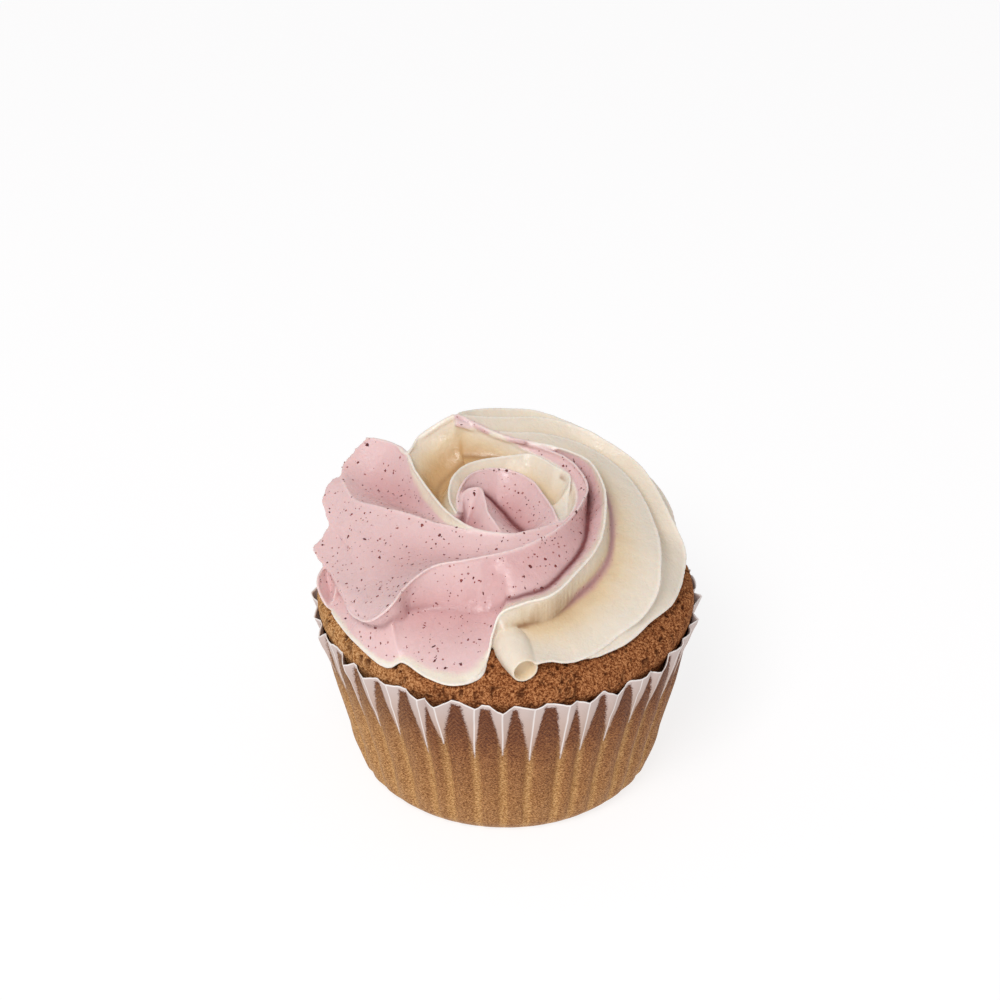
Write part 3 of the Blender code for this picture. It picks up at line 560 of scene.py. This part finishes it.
def buttercream_swirl(mat):
    """All skins as closed blocks with a round bead along each crest, fused into one body by a voxel
    remesh, then softened; tones come from the nearest skin."""
    skins = {name: skin(**spec) for name, spec in SKINS.items()}
    crests = (FIN_WELL_RIM, FIN_LEFT, FIN_UPPER, FIN_FRONT, FIN_CURL, FIN_RIGHT, FIN_BACK_1, FIN_BACK_2,
              FIN_BACK_3, FIN_BACK_4, PEAK_RIDGE, PETAL_OUTER, PETAL_INNER, HEART, ROLL_OUTER)
    parts = [block(made[0]) for made in skins.values()] + [core_block(), curl()]
    for crest in crests:
        path = spline(polar(crest), np.linspace(0, len(crest) - 1, 30 * len(crest)))
        path[:, 2] -= 0.12
        ends = np.minimum(1, np.minimum(np.arange(len(path)), np.arange(len(path))[::-1]) / 12 + 0.3)
        parts.append(rod(path, BEAD_RADIUS * ends))
    for crest in (FIN_FRONT[-5:], FIN_CURL[-4:], PEAK_RIDGE[-3:]):
        path = spline(polar(crest), np.linspace(0, len(crest) - 1, 60))
        path[:, 2] -= 0.6
        parts.append(rod(path, 0.55))
    verts, faces = joined(parts)
    verts[:, 2] += CASE_HEIGHT
    ob = bpy.data.objects.new("buttercream", bpy.data.meshes.new("buttercream"))
    ob.data.from_pydata((verts * MM).tolist(), [], faces)
    bpy.context.scene.collection.objects.link(ob)
    applied(ob, "REMESH", mode="VOXEL", voxel_size=VOXEL * MM, adaptivity=0.0)
    applied(ob, "SMOOTH", iterations=3, factor=0.4)
    applied(ob, "DECIMATE", ratio=min(1, SWIRL_TRIANGLES / (2 * len(ob.data.polygons))),
            use_collapse_triangulate=True)
    co = points_of(ob.data)
    wander = np.stack([noise(co, 6.0, k) for k in (1, 2, 3)], -1) * 0.16
    wander += np.stack([noise(co, 1.7, k) for k in (4, 5, 6)], -1) * 0.05
    wander[:, 2] *= smoothstep(0.6, 2.0, co[:, 2] - CASE_HEIGHT - crown(np.hypot(co[:, 0], co[:, 1])))
    ob.data.vertices.foreach_set("co", ((co + wander) * MM).astype(np.float32).ravel())
    grids, squares, tones, count = [], [], [], 0
    for name, made in skins.items():
        n, m = made[0].shape[:2]
        grids.append(made[0].reshape(-1, 3))
        tones.append(tone(name, *made).reshape(-1, 4))
        squares.append(strip_faces(n, m, count))
        count += n * m
    roll, sides, caps = curl()
    # the curl's lip gets the painted crest highlight, and the inside of its bore a painted valley shade
    lip = np.exp(-((np.arange(len(roll)) / 40 - 61) / 1.2) ** 2)
    inside = 0.4 * (np.arange(len(roll)) / 40 > 63)
    grids.append(roll)
    tones.append(np.stack([0 * lip, 0.9 * lip, 0.05 + inside, 0 * lip], -1))
    squares = np.concatenate(squares).tolist() + (sides + count).tolist() + (caps + count).tolist()
    source = surface("tone_source", np.concatenate(grids) + [0, 0, CASE_HEIGHT], squares,
                     None, np.concatenate(tones))
    ob.data.color_attributes.new("tone", "FLOAT_COLOR", "POINT")
    applied(ob, "DATA_TRANSFER", object=source, use_vert_data=True, data_types_verts={"COLOR_VERTEX"},
            vert_mapping="POLYINTERP_NEAREST")
    bpy.data.objects.remove(source)
    layer = ob.data.color_attributes["tone"].data
    tones = np.empty(len(ob.data.vertices) * 4, np.float32)
    layer.foreach_get("color", tones)
    tones = blurred(ob.data, tones.reshape(-1, 4), 3)
    tones[:, [0, 2]] = blurred(ob.data, tones[:, [0, 2]], 9)
    layer.foreach_set("color", tones.astype(np.float32).ravel())
    ob.data.materials.append(mat)
    ob.data.shade_smooth()
    return ob


def berry_specks(swirl, mat, count=520):
    """Flecks of berry skin: flat eight-sided lenses of uneven length, half sunk into the pink."""
    mesh = swirl.data
    rng = np.random.default_rng(11)
    mesh.calc_loop_triangles()
    corner = np.empty(len(mesh.loop_triangles) * 3, np.int32)
    mesh.loop_triangles.foreach_get("vertices", corner)
    corner = corner.reshape(-1, 3)
    co = points_of(mesh)
    tones = np.empty(len(co) * 4, np.float32)
    mesh.color_attributes["tone"].data.foreach_get("color", tones)
    pink = tones.reshape(-1, 4)[:, 0][corner].mean(1)
    a, b, c = co[corner[:, 0]], co[corner[:, 1]], co[corner[:, 2]]
    normal = np.cross(b - a, c - a)
    area = np.linalg.norm(normal, axis=1)
    normal /= area[:, None] + 1e-12
    weight = area * (pink > 0.75) * (normal[:, 2] > -0.2)
    chosen = rng.choice(len(corner), count, p=weight / weight.sum())
    middle = (a + b + c)[chosen] / 3
    up = normal[chosen]
    side = np.cross(up, rng.normal(size=(count, 3)))
    side /= np.linalg.norm(side, axis=1)[:, None]
    ahead = np.cross(up, side)
    length = np.clip(0.15 * np.exp(rng.normal(0, 0.45, count)), 0.08, 0.4)
    width = length * rng.uniform(0.4, 0.9, count)
    turn = np.linspace(0, 2 * np.pi, 8, endpoint=False)
    uneven = 1 + 0.25 * rng.normal(size=(count, 8)).clip(-1, 1)
    ring = middle[:, None] + ((length[:, None] * np.cos(turn) * uneven)[..., None] * side[:, None]
                              + (width[:, None] * np.sin(turn) * uneven)[..., None] * ahead[:, None])
    thick = 0.06
    top = middle + up * thick
    low = middle - up * thick * 2
    verts = np.concatenate([ring, top[:, None], low[:, None]], 1).reshape(-1, 3)
    i = np.arange(8)
    j = (i + 1) % 8
    fan = np.concatenate([np.stack([i, j, np.full(8, 8)], -1), np.stack([j, i, np.full(8, 9)], -1)])
    faces = (fan[None] + 10 * np.arange(count)[:, None, None]).reshape(-1, 3)
    return surface("berry_specks", verts, faces, mat)


def close_stack(rings, low_point, top_point):
    """Closed skin: quads between rings of equal count, and a fan to a point at each end."""
    rows, n = rings.shape[:2]
    i = np.arange(rows * n).reshape(rows, n)
    j = np.roll(i, -1, axis=1)
    quads = np.stack([i[:-1], j[:-1], j[1:], i[1:]], -1).reshape(-1, 4)
    verts = np.concatenate([rings.reshape(-1, 3), [low_point, top_point]])
    low, top = rows * n, rows * n + 1
    fans = np.concatenate([np.stack([np.full(n, low), j[0], i[0]], -1),
                           np.stack([np.full(n, top), i[-1], j[-1]], -1)])
    return verts, quads.tolist() + fans.tolist()


def pleat_layout(samples):
    """Bearing of each sample round the case, its distance in mm to the nearest fold at the rim, the
    number of that fold and its share of the way from one fold to the next."""
    folds = np.arange(PLEATS + 1)
    wobble = 0.2 * np.sin(folds * 2.4) + 0.14 * np.sin(folds * 5.1 + 1.0)
    wobble[-1] = wobble[0]
    turn = (folds + 0.5 * wobble) * 2 * np.pi / PLEATS + math.radians(-1.15)
    t = np.arange(samples) / samples
    share = t - 0.72 * np.sin(2 * np.pi * t) / (2 * np.pi)
    bearing = (turn[:-1, None] + share[None] * np.diff(turn)[:, None]).ravel()
    pitch = np.repeat(np.diff(turn) * CASE_RIM_RADIUS, samples)
    share = np.tile(share, PLEATS)
    fold = np.where(share < 0.5, np.repeat(folds[:-1], samples), np.repeat(folds[1:], samples)) % PLEATS
    return bearing, np.minimum(share, 1 - share) * pitch, fold, share


def case_cone(z):
    """Radius of the case between its folds, at shares of its height: nearly a cone, fuller in the middle."""
    return np.interp(z / CASE_HEIGHT, [0, 0.3, 0.6, 0.9, 1], CASE_PROFILE)


def case_wall(samples=24, rows=42):
    """Outer face of the case. Radius = cone + a soft bulge between folds + a ridge at each fold, low
    where the paper is stuck and opening into a tall sharp flute near the rim; flutes lean and droop
    unevenly. Tones: mm inside the loose flute, how open it is, mm below the rim, mm from the fold."""
    rng = np.random.default_rng(5)
    bearing, gap, fold, share = pleat_layout(samples)
    flare = rng.uniform(1.0, 2.1, PLEATS)[fold]
    width = rng.uniform(1.6, 2.75, PLEATS)[fold]
    opening = rng.uniform(18.0, 21.5, PLEATS)[fold]
    lean = rng.uniform(-0.6, 1.1, PLEATS)[fold]
    droop = rng.uniform(-0.4, 1.4, PLEATS)[fold]
    tall = np.interp(np.arange(len(share)) / samples - 0.5, np.arange(PLEATS),
                     rng.uniform(-0.45, 0.35, PLEATS))
    near_rim = np.clip(1 - gap / width, 0, 1)
    rim = CASE_HEIGHT - 1.4 + tall + 0.3 * np.sin(np.pi * share) - droop * near_rim ** 0.7
    rim += 0.16 * noise(np.stack([bearing * 40, gap, fold], -1), 1.1, 3)
    t = np.linspace(0, 1, rows)[:, None]
    t = t + 0.1 * np.sin(np.pi * t)
    z = t * rim[None]
    opened = np.clip((z - opening) / (CASE_HEIGHT - 2 - opening), 0, 1.05) ** 1.1
    spread = 0.6 + (width - 0.6) * opened
    ridge = np.clip(1 - gap / spread, 0, 1)
    height = 0.32 * smoothstep(1, 9, z) + (flare - 0.32) * opened
    bulge = 1.15 * np.sin(np.pi * share) ** 0.9 * smoothstep(-1, 8, z) * (1 - 0.5 * opened)
    radius = case_cone(z) + bulge + height * ridge ** (1.6 - 0.7 * np.clip(opened * 2, 0, 1))
    radius -= BASE_ROUND * (1 - smoothstep(0, 2.6, z)) ** 2
    sway = 0.28 * noise(np.stack([fold * 5.0 + 0 * z, z, 0 * z], -1), 7.0, 2) * smoothstep(0, 4, z)
    turn = bearing + (lean * opened * ridge + sway) / CASE_RIM_RADIUS
    grid = np.stack([radius * np.cos(turn), radius * np.sin(turn), z], -1)
    crumple = noise(grid, 2.4, 8) * 0.22 + noise(grid, 1.0, 9) * 0.06
    grid = grid * (1 + crumple * (0.15 + opened * ridge) / radius)[..., None] * [1, 1, 0] + grid * [0, 0, 1]
    line = (width * 0.95) * opened + 0.12 * noise(grid, 1.2, 3)
    tones = np.stack([np.where(opened > 0, line - gap, -gap - 0.3), opened, rim[None] - z, gap + 0 * z], -1)
    return grid, tones


def paper_case(mat):
    """Outer and inner face of the pleated wall, a paper's thickness apart, with a flat double floor."""
    grid, tones = case_wall()
    radius = np.hypot(grid[..., 0], grid[..., 1])
    inner = grid * ((radius - PAPER) / radius)[..., None]
    inner[..., 2] = np.maximum(grid[..., 2], PAPER) + 0.02
    inner[-1, :, 2] = grid[-1, :, 2]
    floor = [grid[:1] * [f, f, 1] for f in (0.3, 0.7)]
    inner_floor = [inner[:1] * [f, f, 1] for f in (0.7, 0.3)]
    rings = np.concatenate(floor + [grid] + [inner[::-1]] + inner_floor)
    verts, faces = close_stack(rings, (0, 0, 0), (0, 0, PAPER + 0.02))
    shade = np.concatenate([tones[:1], tones[:1], tones, tones[::-1], tones[:1], tones[:1]]).reshape(-1, 4)
    shade = np.concatenate([shade, shade[:2]])
    return surface("pleated_case", verts, faces, mat, shade)


def baked_sponge(mat):
    """Solid of revolution: floor, a wall just inside the stuck paper, and the crown; its crust has fine
    grain, pits and short cracks from layered noise."""
    around = 840
    bearing = np.linspace(0, 2 * np.pi, around, endpoint=False)
    wall_z = np.array([0.5, 1.6, 8.0, 18.0, 25.0])
    wall = np.stack([case_cone(wall_z) - (0.3 + 1.1 * (wall_z < 1)), wall_z], -1)
    side_z = np.linspace(25.3, CASE_HEIGHT - 0.7, 18)
    side_r = case_cone(side_z) - 0.1 + 0.45 * smoothstep(29, CASE_HEIGHT - 0.7, side_z)
    edge = 33.35
    top_r = np.concatenate([np.linspace(edge, 22.5, 46), np.linspace(21.5, 1.5, 12)])
    top_z = CASE_HEIGHT + crown(top_r)
    radius = np.concatenate([wall[:, 0], side_r, top_r])
    height = np.concatenate([wall[:, 1], side_z, top_z])
    grid = np.stack([radius[:, None] * np.cos(bearing), radius[:, None] * np.sin(bearing),
                     np.broadcast_to(height[:, None], (len(height), around))], -1)
    normal = np.cross(np.gradient(grid, axis=1), np.gradient(grid, axis=0))
    normal /= np.linalg.norm(normal, axis=-1)[..., None] + 1e-9
    grain = noise(grid, 0.85, 1) * 0.5 + noise(grid, 0.45, 2) * 0.3 + noise(grid, 2.6, 3) * 0.4
    pits = smoothstep(0.42, 0.8, noise(grid, 0.75, 4) + 0.3 * noise(grid, 3.0, 5))
    cracks = 1 - smoothstep(0.0, 0.07, np.abs(noise(grid, 2.2, 6)))
    cracks = cracks * smoothstep(0.25, 0.6, noise(grid, 4.5, 7))
    relief = 0.13 * grain - 0.3 * pits - 0.35 * cracks
    fade = smoothstep(24.0, 27.0, height)[:, None]
    grid = grid + normal * (relief * fade)[..., None]
    verts, faces = close_stack(grid, (0, 0, 0.5), (0, 0, SPONGE_TOP[2] - 0.05))
    tones = np.stack([0.5 + 0.5 * grain, pits, cracks, np.ones_like(grain)], -1).reshape(-1, 4)
    tones = np.concatenate([tones, tones[:2]])
    return surface("baked_sponge", verts, faces, mat, np.clip(tones, 0, 1))


def new_material(name):
    """Empty material with its tree and a Principled shader joined to the output."""
    mat = bpy.data.materials.new(name)
    mat.use_nodes = True
    return mat, mat.node_tree, mat.node_tree.nodes["Principled BSDF"]


def whipped_buttercream():
    """Butter beaten with sugar, piped through a star nozzle, half of it with berry puree: a soft satin
    with light inside it, a painted near-white highlight along the thin crests, painted ochre shade in
    the cream valleys and darker pink shade in the pink ones, painted dark shade along the bottoms of
    sharp valleys, and freckles in the pink."""
    mat, tree, shader = new_material("whipped_buttercream_two_tone")
    place = add(tree, "TexCoord").outputs["Object"]
    read = add(tree, "Attribute", {"attribute_name": "tone"})
    tone_parts = add(tree, "SeparateColor", links={"Color": read.outputs["Color"]})
    pink, crest, valley = (tone_parts.outputs[k] for k in ("Red", "Green", "Blue"))
    cloud = add(tree, "TexNoise", {"Scale": 1 / (9 * MM), "Detail": 3.0}, {"Vector": place})
    # painted shade: the cream turns ochre and the pink turns darker the deeper the valley
    cream = add(tree, "ValToRGB", {"stops": [(0.0, linear("#ebdfcf")), (1.0, linear("#cba576")),
                                             (0.5, linear("#e2cba9"))]},
                {"Fac": valley})
    berry = blend(tree, {6: linear("#e5c3c2"), 7: linear("#d2a1a1")}, {0: valley})
    patch = add(tree, "MapRange", {"From Min": 0.3, "From Max": 0.7, "To Min": -0.12, "To Max": 0.12},
                {"Value": cloud.outputs["Fac"]})
    pinker = calc(tree, "ADD", {0: pink, 1: patch.outputs["Result"]}, {"use_clamp": True})
    edge_of_pink = add(tree, "MapRange", {"From Min": 0.25, "From Max": 0.75}, {"Value": pinker.outputs[0]})
    body = blend(tree, {}, {0: edge_of_pink.outputs["Result"], 6: cream.outputs["Color"],
                            7: berry.outputs[2]})
    # painted shade: a dark line along the bottom of sharp valleys, brown in the cream, dark red in the pink
    deep = blend(tree, {6: linear("#8a5a34"), 7: linear("#7a3d3e")}, {0: pink})
    crease_shaded = blend(tree, {}, {0: read.outputs["Alpha"], 6: body.outputs[2], 7: deep.outputs[2]})
    # freckles of berry skin about 0.2 mm across, drawn out a little, one in each cell of about 1 mm
    bent = add(tree, "TexNoise", {"Scale": 1 / (0.5 * MM), "Detail": 2.0}, {"Vector": place})
    moved = add(tree, "VectorMath", {"operation": "MULTIPLY_ADD", 1: (0.25 * MM,) * 3},
                {0: bent.outputs["Color"], 2: place})
    cell = add(tree, "TexVoronoi", {"Scale": 1 / (1.05 * MM), "Randomness": 1.0},
               {"Vector": moved.outputs[0]})
    pick = add(tree, "SeparateColor", links={"Color": cell.outputs["Color"]})
    reach = add(tree, "MapRange", {"From Min": 0.1, "From Max": 1.0, "To Min": 0.05, "To Max": 0.2},
                {"Value": pick.outputs["Red"]})
    dot = calc(tree, "LESS_THAN", {0: cell.outputs["Distance"], 1: reach.outputs[0]})
    dot_on_pink = calc(tree, "MULTIPLY", {0: dot.outputs[0], 1: edge_of_pink.outputs["Result"]})
    dotted = calc(tree, "MULTIPLY", {0: dot_on_pink.outputs[0]}, {1: 0.85})
    freckled = blend(tree, {7: linear("#97504c")}, {0: dotted.outputs[0], 6: crease_shaded.outputs[2]})
    # painted highlight: near-white cream or pale pink along the crests
    pale = add(tree, "MapRange", {"From Min": 0.35, "From Max": 0.95, "To Min": 0.0, "To Max": 0.7},
               {"Value": crest})
    lip = blend(tree, {6: linear("#f4e9df"), 7: linear("#ecd2d0")}, {0: pink})
    edged = blend(tree, {}, {0: pale.outputs["Result"], 6: freckled.outputs[2], 7: lip.outputs[2]})
    tree.links.new(edged.outputs[2], shader.inputs["Base Color"])
    fine = add(tree, "TexNoise", {"Scale": 1 / (0.7 * MM), "Detail": 4.0}, {"Vector": place})
    soft = add(tree, "TexNoise", {"Scale": 1 / (3.2 * MM), "Detail": 2.0}, {"Vector": place})
    tiny = add(tree, "TexNoise", {"Scale": 1 / (0.3 * MM), "Detail": 2.0}, {"Vector": place})
    finer = calc(tree, "MULTIPLY_ADD", {0: tiny.outputs["Fac"], 2: fine.outputs["Fac"]}, {1: 0.3})
    height = calc(tree, "MULTIPLY_ADD", {0: finer.outputs[0], 2: soft.outputs["Fac"]}, {1: 0.4})
    bump = add(tree, "Bump", {"Strength": 0.42, "Distance": 0.5 * MM}, {"Height": height.outputs[0]})
    tree.links.new(bump.outputs[0], shader.inputs["Normal"])
    rough = add(tree, "MapRange", {"From Min": 0.35, "From Max": 0.65, "To Min": 0.2, "To Max": 0.46},
                {"Value": soft.outputs["Fac"]})
    tree.links.new(rough.outputs["Result"], shader.inputs["Roughness"])
    shader.inputs["IOR"].default_value = 1.45
    shader.inputs["Subsurface Weight"].default_value = 0.25
    shader.inputs["Subsurface Radius"].default_value = (1.0, 0.6, 0.4)
    shader.inputs["Subsurface Scale"].default_value = 1.2 * MM
    return mat


def berry_skin():
    """Bits of freeze-dried berry skin: near-black red, dull."""
    mat, tree, shader = new_material("dried_berry_skin")
    place = add(tree, "TexCoord").outputs["Object"]
    vary = add(tree, "TexNoise", {"Scale": 1 / (1.5 * MM), "Detail": 2.0}, {"Vector": place})
    ramp = add(tree, "ValToRGB", {"stops": [(0.35, linear("#541719")), (0.7, linear("#a04641"))]},
               {"Fac": vary.outputs["Fac"]})
    tree.links.new(ramp.outputs["Color"], shader.inputs["Base Color"])
    shader.inputs["Roughness"].default_value = 0.6
    return mat


def crumb_color(tree, place, dark, middle, light, grain_mm):
    """Colour of baked crumb: layered grain of that size, from dark pores to light crumb walls."""
    grain = add(tree, "TexNoise", {"Scale": 1 / (grain_mm * MM), "Detail": 5.0, "Roughness": 0.85},
                {"Vector": place})
    ramp = add(tree, "ValToRGB", {"stops": [(0.43, linear(dark)), (0.58, linear(light)), (0.5,
                                                                                          linear(middle))]},
               {"Fac": grain.outputs["Fac"]})
    return grain, ramp.outputs["Color"]


def lit_and_baked_paler_to_left(tree, place, brown, golden):
    """Colour that turns from brown to golden towards -X: partly a paler bake there, partly painted light
    falling from the left.
    """
    at = add(tree, "SeparateXYZ", links={"Vector": place})
    share = add(tree, "MapRange", {"From Min": -12 * MM, "From Max": -32 * MM}, {"Value": at.outputs["X"]})
    mixed = blend(tree, {}, {0: share.outputs["Result"], 6: brown, 7: golden})
    return at, mixed.outputs[2]


def sponge_crust():
    """Baked sponge: golden-brown crust with a fine open crumb, so a dry matt grain with dark pores."""
    mat, tree, shader = new_material("baked_sponge_crust")
    place = add(tree, "TexCoord").outputs["Object"]
    grain, brown = crumb_color(tree, place, "#552711", "#9c5c33", "#cf9160", 0.4)
    golden = crumb_color(tree, place, "#8a5428", "#c78d55", "#e6bb86", 0.4)[1]
    # golden towards -X: partly a paler bake, partly painted light from the left
    color = lit_and_baked_paler_to_left(tree, place, brown, golden)[1]
    read = add(tree, "Attribute", {"attribute_name": "tone"})
    parts = add(tree, "SeparateColor", links={"Color": read.outputs["Color"]})
    # painted shade: the pits and cracks of the crust are darkened
    holes = calc(tree, "MAXIMUM", {0: parts.outputs["Green"], 1: parts.outputs["Blue"]})
    pit_shaded = blend(tree, {7: linear("#4a230f")}, {0: holes.outputs[0], 6: color})
    tree.links.new(pit_shaded.outputs[2], shader.inputs["Base Color"])
    bump = add(tree, "Bump", {"Strength": 0.7, "Distance": 0.3 * MM}, {"Height": grain.outputs["Fac"]})
    tree.links.new(bump.outputs[0], shader.inputs["Normal"])
    shader.inputs["Roughness"].default_value = 0.9
    shader.inputs["Specular IOR Level"].default_value = 0.08
    return mat


def greaseproof_paper():
    """Greaseproof baking paper: where it stuck, the crumb shows brown through it, darkest under the
    rim and more golden towards -X, partly painted light from the left; folds are soft golden lines,
    partly the loose doubled paper and partly painted shading that leaves each column darker in its
    middle; loose flutes are milky grey-pink with thin bright edges."""
    mat, tree, shader = new_material("greaseproof_baking_paper")
    place = add(tree, "TexCoord").outputs["Object"]
    read = add(tree, "Attribute", {"attribute_name": "tone"})
    parts = add(tree, "SeparateColor", links={"Color": read.outputs["Color"]})
    inside, opened, below = (parts.outputs[k] for k in ("Red", "Green", "Blue"))
    fold = read.outputs["Alpha"]
    flat = add(tree, "VectorMath", {"operation": "MULTIPLY", 1: (1.0, 1.0, 2.2)}, {0: place})
    grain, dark = crumb_color(tree, flat.outputs[0], "#43200f", "#8d5330", "#c08553", 0.38)
    light = crumb_color(tree, flat.outputs[0], "#84502a", "#c48f54", "#e9bd84", 0.38)[1]
    # golden towards -X: partly a paler bake, partly painted light from the left
    at, stuck = lit_and_baked_paler_to_left(tree, place, dark, light)
    low = add(tree, "MapRange", {"From Min": 24 * MM, "From Max": 4 * MM, "To Max": 0.5},
              {"Value": at.outputs["Z"]})
    # paler near each fold: partly the loose doubled paper there, partly painted shading that leaves each
    # rounded column darker in its middle
    seam = add(tree, "MapRange", {"From Min": 1.2, "From Max": 0.0, "To Max": 0.95}, {"Value": fold})
    paler = calc(tree, "ADD", {0: low.outputs["Result"], 1: seam.outputs["Result"]}, {"use_clamp": True})
    column = blend(tree, {}, {0: paler.outputs[0], 6: stuck, 7: light})
    high = add(tree, "MapRange", {"From Min": 17 * MM, "From Max": 30 * MM, "To Max": 0.62},
               {"Value": at.outputs["Z"]})
    column = blend(tree, {7: linear("#683b2d")}, {0: high.outputs["Result"], 6: column.outputs[2]})
    ragged = add(tree, "MapRange", {"From Min": 0.35, "From Max": 0.65, "To Min": -0.35, "To Max": 0.35},
                 {"Value": grain.outputs["Fac"]})
    arch = calc(tree, "MULTIPLY_ADD", {0: fold, 2: below}, {1: 1.1})
    turns = calc(tree, "MULTIPLY_ADD", {0: arch.outputs[0], 2: ragged.outputs["Result"]},
                 {1: 2 * np.pi / 1.0})
    wave = calc(tree, "SINE", {0: turns.outputs[0]})
    where = add(tree, "MapRange", {"From Min": 13.0, "From Max": 7.0, "To Max": 0.42}, {"Value": below})
    crinkle = calc(tree, "MULTIPLY", {0: wave.outputs[0], 1: where.outputs["Result"]})
    column = blend(tree, {7: linear("#4a2519")}, {0: crinkle.outputs[0], 6: column.outputs[2]})
    side = calc(tree, "ADD", {0: inside, 1: ragged.outputs["Result"]})
    rim = calc(tree, "SUBTRACT", {1: below}, {0: 0.9})
    rim_ragged = calc(tree, "ADD", {0: rim.outputs[0], 1: ragged.outputs["Result"]})
    free = calc(tree, "MAXIMUM", {0: side.outputs[0], 1: rim_ragged.outputs[0]})
    loose = add(tree, "MapRange", {"From Min": -0.1, "From Max": 0.12}, {"Value": free.outputs[0]})
    milky = blend(tree, {6: linear("#bb957c"), 7: linear("#cdbab4")}, {0: opened})
    colour = blend(tree, {}, {0: loose.outputs["Result"], 6: column.outputs[2], 7: milky.outputs[2]})
    hem = add(tree, "MapRange", {"From Min": 0.32, "From Max": 0.16}, {"Value": below})
    crest = add(tree, "MapRange", {"From Min": 0.2, "From Max": 0.08, "To Max": 0.8}, {"Value": fold})
    free_crest = calc(tree, "MULTIPLY", {0: crest.outputs["Result"], 1: loose.outputs["Result"]})
    bright = calc(tree, "MAXIMUM", {0: hem.outputs["Result"], 1: free_crest.outputs[0]})
    edged = blend(tree, {7: linear("#f2ebe8")}, {0: bright.outputs[0], 6: colour.outputs[2]})
    tree.links.new(edged.outputs[2], shader.inputs["Base Color"])
    rough = add(tree, "MapRange", {"To Min": 0.6, "To Max": 0.08}, {"Value": loose.outputs["Result"]})
    relief = calc(tree, "SUBTRACT", {0: grain.outputs["Fac"], 1: crinkle.outputs[0]})
    bump = add(tree, "Bump", {"Distance": 0.25 * MM},
               {"Height": relief.outputs[0], "Strength": rough.outputs["Result"]})
    tree.links.new(bump.outputs[0], shader.inputs["Normal"])
    sheen = add(tree, "MapRange", {"To Min": 0.1, "To Max": 0.4}, {"Value": loose.outputs["Result"]})
    tree.links.new(sheen.outputs["Result"], shader.inputs["Specular IOR Level"])
    shader.inputs["Roughness"].default_value = 0.5
    return mat


def studio_floor():
    """Matt white card under the cake."""
    mat, tree, shader = new_material("white_card")
    shader.inputs["Base Color"].default_value = linear("#878586")
    shader.inputs["Roughness"].default_value = 0.9
    shader.inputs["Emission Color"].default_value = linear("#ffffff")
    shader.inputs["Emission Strength"].default_value = 0.79
    return mat


def stage_and_lights():
    """White floor, an even white surround and one soft lamp above the camera, a little to the left."""
    size = 6000.0
    floor = surface("floor", [(-size, -size, 0), (size, -size, 0), (size, size, 0), (-size, size, 0)],
                    [(0, 1, 2, 3)], studio_floor())
    world = bpy.data.worlds.new("studio")
    bpy.context.scene.world = world
    world.use_nodes = True
    world.node_tree.nodes["Background"].inputs["Color"].default_value = (1, 1, 1, 1)
    world.node_tree.nodes["Background"].inputs["Strength"].default_value = 0.44
    lamp = bpy.data.lights.new("key", "AREA")
    lamp.shape = "SQUARE"
    lamp.size = 0.45
    lamp.energy = 6.8
    key = bpy.data.objects.new("key", lamp)
    key.location = (-0.24, -0.66, 0.82)
    key.rotation_mode = "QUATERNION"
    key.rotation_quaternion = Vector((0.24, 0.66, -0.78)).to_track_quat("-Z", "Y")
    bpy.context.scene.collection.objects.link(key)


def camera():
    """Long lens, 32 degrees above the horizon, looking at the cake from the front."""
    data = bpy.data.cameras.new("camera")
    data.sensor_width = 36
    data.lens = 123.0
    data.clip_start = 0.01
    ob = bpy.data.objects.new("camera", data)
    lift = math.radians(32)
    target = Vector((-0.00103, 0, 0.0532))
    away = Vector((0, -math.cos(lift), math.sin(lift)))
    ob.location = target + 0.6 * away
    ob.rotation_mode = "QUATERNION"
    ob.rotation_quaternion = (-away).to_track_quat("-Z", "Y")
    bpy.context.scene.collection.objects.link(ob)
    bpy.context.scene.camera = ob


def dress(ob, node):
    """The piece rides on the only body and stands for its CAD node, which is hidden."""
    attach(ob, "root")
    if node:
        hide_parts(node)


bpy.context.scene.view_settings.view_transform = "Standard"
camera()
stage_and_lights()
dress(baked_sponge(sponge_crust()), "sponge")
dress(paper_case(greaseproof_paper()), "paper_case")
swirl = buttercream_swirl(whipped_buttercream())
dress(swirl, "buttercream_swirl")
dress(berry_specks(swirl, berry_skin()), None)
